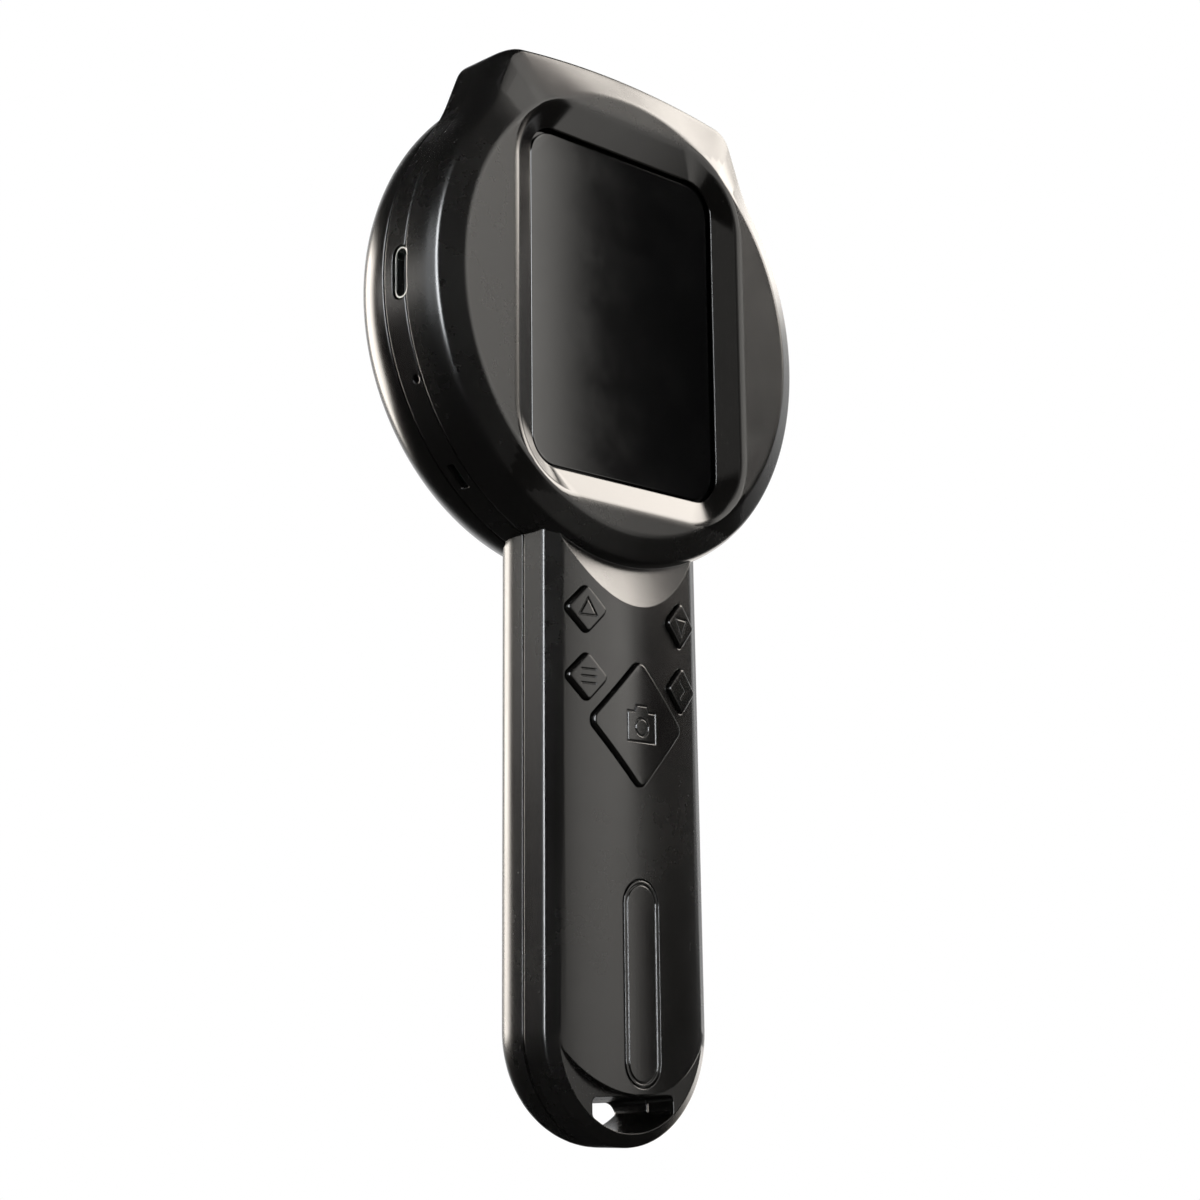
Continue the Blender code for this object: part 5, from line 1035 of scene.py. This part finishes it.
def window_glass(name):
    """The screen's cover: a black printed border round a faintly lighter display, under clean glass."""
    material, tree, place = new_material(name, {"IOR": GLASS_IOR})
    parts = add(tree, "SeparateXYZ", {"Vector": place}).outputs
    middle = maths(tree, "SUBTRACT", parts["Z"], HEAD_HEIGHT)
    across = maths(tree, "SUBTRACT", maths(tree, "ABSOLUTE", parts["X"]), SCREEN_HALF_WIDTH)
    rise = maths(tree, "SUBTRACT", maths(tree, "ABSOLUTE", middle), SCREEN_HALF_HEIGHT)
    border = ranged(tree, maths(tree, "MAXIMUM", across, rise), 0.0, 1.0, (-BORDER_BLUR, BORDER_BLUR))
    cloud = ranged(tree, noise(tree, place, *DISPLAY_NOISE), 0.0, DISPLAY_CLOUD)
    tint = ramp(tree, maths(tree, "MAXIMUM", border, cloud), DISPLAY_STOPS)
    return wired(material, tint, ranged(tree, noise(tree, place, *GLASS_NOISE), *GLASS_SHEEN, GLASS_SPAN))


def clear(name, colour, roughness, ior=ACRYLIC_IOR):
    """A see-through piece with a little haze."""
    material, tree, place = new_material(name, {"Transmission Weight": 1.0, "IOR": ior})
    haze = noise(tree, place, *CLEAR_NOISE)
    sheen = ranged(tree, haze, *sheen_span(roughness, CLEAR_SHEEN))
    return wired(material, shaded(tree, haze, colour, CLEAR_SHADES), sheen)


def metal(name, colour, roughness, scale=(900.0, 60.0, 60.0)):
    """Metal with fine drawn lines along one way."""
    material, tree, place = new_material(name, {"Metallic": 1.0})
    stretch = add(tree, "Mapping", {"Vector": place, "Scale": scale}).outputs["Vector"]
    lines = noise(tree, stretch, *LINE_NOISE)
    tint = shaded(tree, noise(tree, place, *SPOT_NOISE), colour, METAL_SHADES)
    sheen = ranged(tree, lines, *sheen_span(roughness, METAL_SHEEN))
    return wired(material, tint, sheen, bumped(tree, lines, METAL_GRAIN, FINE_BUMP))


def board(name, colour):
    """Solder mask over copper: a raised maze of tracks under the lacquer."""
    material, tree, place = new_material(name, {"IOR": PLASTIC_IOR})
    inputs = {"Vector": place, "Scale": TRACK_SCALE, "Mortar Size": TRACK_GAP, "Color1": (0, 0, 0, 1),
              "Color2": (0.3, 0.3, 0.3, 1), "Mortar": (1, 1, 1, 1)}
    height = add(tree, "TexBrick", inputs).outputs["Fac"]
    cloud = ranged(tree, noise(tree, place, *MASK_NOISE), 0.0, 0.3)
    tone = maths(tree, "ADD", maths(tree, "MULTIPLY", height, 0.5), cloud)
    sheen = ranged(tree, tone, *MASK_SHEEN, (0.0, 1.0))
    return wired(material, shaded(tree, tone, colour, MASK_SHADES), sheen,
                 bumped(tree, height, MASK_GRAIN, ROUGH_BUMP))


def speckled(name, colour, roughness, scale, metallic=0.0, grain=0.2):
    """A plain technical surface with a visible fine speckle: foam, foil, film or moulding compound."""
    material, tree, place = new_material(name, {"Metallic": metallic})
    specks = noise(tree, place, scale, *SPECK_DETAIL)
    cloud = noise(tree, place, scale / SPECKS_PER_CLOUD, *CLOUD_DETAIL)
    tone = maths(tree, "ADD", ranged(tree, specks, 0.0, 0.5), ranged(tree, cloud, 0.0, 0.5))
    sheen = ranged(tree, tone, *sheen_span(roughness, SPECKLED_SHEEN), (0.0, 1.0))
    return wired(material, shaded(tree, tone, colour, SPECKLED_SHADES), sheen,
                 bumped(tree, specks, grain, ROUGH_BUMP))


BLACK = (0.0056, 0.0053, 0.0049)
STEEL = (0.60, 0.60, 0.58)
housing_black = plastic("housing_black", BLACK, 0.26)
recess_black = plastic("recess_black", BLACK, 0.14, grain=0.03, spread=0.02)
cover_black = plastic("cover_black", BLACK, 0.22)
key_black = plastic("key_black", BLACK, 0.20)
pill_black = plastic("pill_black", BLACK, 0.23)

# Carried-over nodes, each with its material's name, colour, roughness and what else its kind takes
SPECKLED = {
    "window_gasket": ("foam_black", (0.025, 0.025, 0.026), 0.95, 1500.0),
    "lcd_panel": ("panel_film", (0.020, 0.023, 0.028), 0.18, 400.0, 0.0, 0.02),
    "lcd_backlight": ("light_guide", (0.72, 0.72, 0.70), 0.5, 500.0),
    "lcd_flex": ("flex_amber", (0.42, 0.21, 0.05), 0.35, 300.0),
    "board_link": ("link_amber", (0.40, 0.20, 0.05), 0.35, 300.0),
    "main_processor": ("processor_epoxy", (0.020, 0.020, 0.021), 0.45, 1800.0),
    "memory_chip": ("memory_epoxy", (0.018, 0.018, 0.019), 0.45, 1800.0),
    "image_sensor": ("sensor_epoxy", (0.030, 0.032, 0.040), 0.25, 1200.0),
    "usb_tongue": ("tongue_black", (0.012, 0.012, 0.012), 0.45, 1500.0),
    "reset_switch": ("switch_black", (0.030, 0.030, 0.031), 0.40, 1200.0),
    "reset_plunger": ("reset_black", (0.012, 0.012, 0.012), 0.40, 1200.0),
    "status_led": ("status_white", (0.80, 0.80, 0.74), 0.35, 900.0),
    "lens_mount": ("mount_black", (0.014, 0.014, 0.015), 0.50, 1400.0),
    "led_board": ("lamp_board_white", (0.78, 0.78, 0.74), 0.45, 600.0),
    "led_leads": ("leads_yellow", (0.52, 0.47, 0.05), 0.45, 700.0),
    "battery": ("battery_wrap", (0.16, 0.22, 0.32), 0.35, 240.0, 0.4),
    "battery_pad": ("pad_foam", (0.035, 0.035, 0.036), 0.95, 1500.0),
    "battery_leads": ("leads_red", (0.48, 0.03, 0.02), 0.45, 700.0),
}
METALS = {
    "lcd_bracket": ("bracket_steel", STEEL, 0.35),
    "card_socket": ("socket_steel", STEEL, 0.30, (60.0, 900.0, 60.0)),
}
CLEARS = {
    "indicator_lens": ("indicator_clear", (0.62, 0.64, 0.66), 0.22),
    "filter_glass": ("filter_tint", (0.35, 0.60, 0.66), 0.03, GLASS_IOR),
    "relay_lens": ("relay_clear", (0.92, 0.95, 0.96), 0.02, GLASS_IOR),
}
BOARDS = {
    "main_board": ("main_board_green", (0.012, 0.100, 0.050)),
    "keypad_board": ("keypad_board_green", (0.012, 0.095, 0.050)),
}
for name, *_ in keys():
    METALS[f"switch_{name}"] = (f"switch_steel_{name}", (0.42, 0.42, 0.41), 0.35)
    SPECKLED[f"plunger_{name}"] = (f"plunger_black_{name}", (0.020, 0.020, 0.020), 0.42, 1400.0)
for group, count in (("head_screw", 4), ("handle_screw", 2), ("lens_screw", 2)):
    for index in range(1, count + 1):
        METALS[f"{group}_{index}"] = (f"{group}_steel_{index}", (0.50, 0.50, 0.48), 0.28)
for make, looks in ((speckled, SPECKLED), (metal, METALS), (clear, CLEARS), (board, BOARDS)):
    for node, look in looks.items():
        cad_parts[node].data.materials.clear()
        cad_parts[node].data.materials.append(make(*look))


def dress(name, obj, material, body, node):
    """Puts a piece in a node's place, with its name, material, smooth shading and body, and hides the node.
    """
    obj.name = name
    obj.data.transform(TO_WORLD)
    obj.data.materials.clear()
    obj.data.materials.append(material)
    obj.data.shade_smooth()
    obj.data.set_sharp_from_angle(angle=math.radians(SMOOTH_ANGLE))
    even = obj.modifiers.new("even", "WEIGHTED_NORMAL")
    even.keep_sharp = True
    even.weight = NORMAL_WEIGHT
    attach(obj, body)
    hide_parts(node)


def polish_recess(shell):
    """Gives the recess's walls the polished finish."""
    shell.data.materials.append(recess_black)
    for face in shell.data.polygons:
        across, depth, height = face.center
        inside = abs(across) < OPENING_HALF_WIDTH and abs(height - HEAD_HEIGHT) < OPENING_HALF_HEIGHT
        if inside and MERGE_DISTANCE < depth + GRIP_DEPTH < WINDOW_DEPTH:
            face.material_index = 1


front_shell = build_front_shell()
dress("shell_front", front_shell, housing_black, "housing", "front_shell")
polish_recess(front_shell)
for name, made, material, node in (
    ("window", build_window(), window_glass("window_black_glass"), "display_window"),
    ("shell_rear", build_rear_shell(), housing_black, "rear_shell"),
    ("cover_rear", build_rear_cover(), cover_black, "rear_cover"),
    ("hood", build_hood(), housing_black, "lens_hood"),
    ("pill", build_inlay(), pill_black, "handle_inlay"),
    ("barrel", build_barrel(), metal("barrel_black", (0.035, 0.035, 0.036), 0.30), "lens_barrel"),
    ("lens_front", build_objective(), clear("objective_clear", (0.93, 0.95, 0.97), 0.015, LENS_IOR),
     "objective_lens"),
    ("window_of_lights", build_light_window(), clear("diffuser_clear", (0.90, 0.91, 0.92), 0.30),
     "light_window"),
    ("usb_can", build_usb_shell(), metal("usb_steel", STEEL, 0.22, (60.0, 60.0, 900.0)), "usb_shell"),
):
    dress(name, made, material, "housing", node)
signs = key_signs()
for name, centre, half_diagonal, radius in keys():
    cap = build_key(centre, half_diagonal, radius, signs[name])
    dress(f"cap_{name}", cap, key_black, f"{name}_key", f"key_{name}")

# Camera at the photograph's angle
CAMERA_PLACE = Vector((-0.27611, -0.27862, -0.03740))
CAMERA_YAW = 44.88
CAMERA_PITCH = 11.88
CAMERA_ROLL = -0.66
CAMERA_LENS = 68.35
CLIP_START = 0.01


def view_axes():
    """The camera's right, up and ahead."""
    yaw, pitch, roll = (math.radians(angle) for angle in (CAMERA_YAW, CAMERA_PITCH, CAMERA_ROLL))
    level = Vector((math.cos(yaw), -math.sin(yaw), 0.0))
    ahead = Vector((math.sin(yaw) * math.cos(pitch), math.cos(yaw) * math.cos(pitch), math.sin(pitch)))
    upright = level.cross(ahead)
    right = level * math.cos(roll) + upright * math.sin(roll)
    up = upright * math.cos(roll) - level * math.sin(roll)
    return right, up, ahead


right, up, ahead = view_axes()
camera_data = bpy.data.cameras.new("camera")
camera_data.lens = CAMERA_LENS
camera_data.clip_start = CLIP_START
camera = bpy.data.objects.new("camera", camera_data)
camera.matrix_world = Matrix.Translation(CAMERA_PLACE) @ Matrix((right, up, -ahead)).transposed().to_4x4()
bpy.context.scene.collection.objects.link(camera)
bpy.context.scene.camera = camera

# Studio, as gloss alone sees it: softboxes in a dark room before a white backdrop, fixed in the world. A
# level of 1 is white. Bearings run from FIRST_BEARING, the side that the photograph was taken from
TARGET = Vector((0.0, 0.0, 0.045))
HALF_TURN = 180.0
FULL_TURN = 360.0
FIRST_BEARING = 225.0
DARK_ROOM = 0.008
WHITE = (1.0, 1.0, 1.0)
WARM = (1.0, 0.93, 0.85)
SOFT_WARM = (1.0, 0.97, 0.92)
COOL = (0.94, 0.97, 1.0)
BACKDROP = ((152.0, 226.0), (-16.0, 34.0), (24.0, 24.0))
# Bearings, heights, softness of both, level, colour
SOFTBOXES = (
    ((-88.9, -60.0), (-18.0, 46.0), (2.0, 10.0), 1.5, SOFT_WARM),
    ((-86.0, -66.0), (3.0, 40.0), (12.0, 10.0), 0.8, SOFT_WARM),
    ((-88.5, -80.0), (10.0, 32.0), (3.0, 8.0), 1.4, SOFT_WARM),
    ((-64.0, -52.0), (-10.0, 44.0), (12.0, 10.0), 0.6, SOFT_WARM),
    ((-46.0, -40.0), (12.0, 26.0), (3.0, 6.0), 0.5, SOFT_WARM),
    ((-127.0, -102.0), (28.0, 51.0), (6.0, 6.0), 10.5, WARM),
    ((-125.0, -104.0), (20.8, 28.0), (4.0, 3.0), 8.0, WARM),
    ((-124.0, -108.0), (14.0, 24.0), (4.0, 4.0), 1.4, WARM),
    ((-162.0, -128.0), (22.0, 46.0), (6.0, 4.0), 3.2, WARM),
    ((-176.0, -142.0), (-36.0, -2.0), (6.0, 8.0), 2.2, WARM),
    ((115.0, 141.0), (-5.0, 26.0), (8.0, 6.0), 9.0, WARM),
    ((74.0, 100.0), (9.8, 21.0), (6.0, 9.0), 2.4, SOFT_WARM),
    ((26.0, 74.0), (2.0, 34.0), (10.0, 12.0), 3.0, COOL),
    ((1.0, 22.0), (-3.0, 38.0), (4.0, 8.0), 30.0, COOL),
)


def in_degrees(tree, angle):
    return maths(tree, "MULTIPLY", angle, math.degrees(1.0))


def band(tree, angle, span, softness):
    """1 inside a span of angles, falling to 0 over the softness at both ends."""
    middle, half = sum(span) / 2, (span[1] - span[0]) / 2
    off = maths(tree, "ABSOLUTE", maths(tree, "SUBTRACT", angle, middle))
    fall = (half - softness / 2, half + softness / 2)
    return ranged(tree, off, 1.0, 0.0, fall, interpolation_type="SMOOTHSTEP")


def patch(tree, bearing, height, bearings, heights, softness):
    """1 inside a soft-edged rectangle of bearings and heights."""
    return maths(tree, "MULTIPLY", band(tree, bearing, bearings, softness[0]),
                 band(tree, height, heights, softness[1]))


def studio(tree, way):
    """What gloss sees along a way: backdrop, softboxes and the dark room."""
    parts = add(tree, "SeparateXYZ", {"Vector": way}).outputs
    lead = in_degrees(tree, maths(tree, "ARCTAN2", parts["X"], parts["Y"]))
    lead = maths(tree, "SUBTRACT", lead, FIRST_BEARING - FULL_TURN)
    lead = maths(tree, "FLOORED_MODULO", maths(tree, "ADD", lead, HALF_TURN), FULL_TURN)
    bearing = maths(tree, "SUBTRACT", lead, HALF_TURN)
    height = in_degrees(tree, maths(tree, "ARCSINE", parts["Z"]))
    behind = maths(tree, "FLOORED_MODULO", bearing, FULL_TURN)
    total = maths(tree, "ADD", patch(tree, behind, height, *BACKDROP), DARK_ROOM)
    for *place, level, colour in SOFTBOXES:
        share = patch(tree, bearing, height, *place)
        glow = vectors(tree, "SCALE", tuple(channel * level for channel in colour), share)
        total = vectors(tree, "ADD", total, glow)
    return total


def ray_kinds(tree):
    """Whether the camera sees by this ray, straight or through glass, and whether gloss does."""
    path = add(tree, "LightPath").outputs
    return maths(tree, "MAXIMUM", path["Is Camera Ray"], path["Is Transmission Ray"]), path["Is Glossy Ray"]


def chosen(tree, share, first, plain):
    """The first vector where the share is 1, a plain value where it is 0."""
    rest = maths(tree, "MULTIPLY", maths(tree, "SUBTRACT", 1.0, share), plain)
    return vectors(tree, "ADD", vectors(tree, "SCALE", first, share), rest)


# Floor, far below the held object. Its shadow fades into white over SHADOW_REACH
FLOOR_HEIGHT = -0.13
FLOOR_REACH = 60.0
FLOOR_VALUES = {"Base Color": (0.9, 0.9, 0.9, 1.0), "Roughness": 0.9}
SHADOW_REACH = (0.35, 0.95)


def build_floor():
    """A pale floor that keeps the shadow; gloss looks through it to the studio."""
    bm = bmesh.new()
    bmesh.ops.create_grid(bm, x_segments=1, y_segments=1, size=FLOOR_REACH)
    bm.transform(Matrix.Translation((0.0, 0.0, FLOOR_HEIGHT)))
    floor = object_from(bm, plain=True)
    floor.name = "floor"
    material, tree, place = new_material("floor_white", FLOOR_VALUES)
    distance = add(tree, "VectorMath", {0: place}, operation="LENGTH").outputs["Value"]
    seen, gloss = ray_kinds(tree)
    far = maths(tree, "MULTIPLY", ranged(tree, distance, 0.0, 1.0, SHADOW_REACH), seen)
    offset = vectors(tree, "SUBTRACT", place, TARGET)
    way = add(tree, "VectorMath", {0: offset}, operation="NORMALIZE").outputs["Vector"]
    glow = add(tree, "Emission", {"Strength": 1.0, "Color": chosen(tree, gloss, studio(tree, way), 1.0)})
    matt = tree.nodes["Principled BSDF"].outputs[0]
    mix = add(tree, "MixShader", {0: maths(tree, "MAXIMUM", far, gloss), 1: matt, 2: glow.outputs[0]})
    tree.links.new(mix.outputs[0], tree.nodes["Material Output"].inputs["Surface"])
    floor.data.materials.append(material)


build_floor()

# Light on matt surfaces. A lamp is its name, place, size, watts and colour
WORLD_LEVEL = 0.45
LAMPS = (
    ("front_box", (0.60, -0.80, 0.45), (0.50, 0.80), 2.5, WHITE),
    ("right_rim", (0.95, 0.10, 0.25), (0.30, 0.90), 2.0, WARM),
    ("top_box", (0.05, -0.10, 1.10), (0.60, 0.60), 3.5, WHITE),
)


def build_world():
    """Even light for matt surfaces, the studio for gloss, and white for the camera."""
    world = bpy.data.worlds.new("studio")
    bpy.context.scene.world = world
    world.use_nodes = True
    world.cycles.sampling_method = "NONE"
    tree = world.node_tree
    way = add(tree, "TexCoord").outputs["Generated"]
    seen, gloss = ray_kinds(tree)
    plain = maths(tree, "ADD", maths(tree, "MULTIPLY", seen, 1.0 - WORLD_LEVEL), WORLD_LEVEL)
    sky = tree.nodes["Background"]
    sky.inputs["Strength"].default_value = 1.0
    tree.links.new(chosen(tree, gloss, studio(tree, way), plain), sky.inputs["Color"])


build_world()
for name, place, size, watts, colour in LAMPS:
    lamp = bpy.data.lights.new(name, "AREA")
    lamp.shape = "RECTANGLE"
    lamp.size, lamp.size_y = size
    lamp.energy = watts
    lamp.color = colour
    obj = bpy.data.objects.new(name, lamp)
    obj.location = place
    obj.rotation_euler = (TARGET - Vector(place)).to_track_quat("-Z", "Y").to_euler()
    obj.visible_camera = False
    obj.visible_glossy = False
    bpy.context.scene.collection.objects.link(obj)
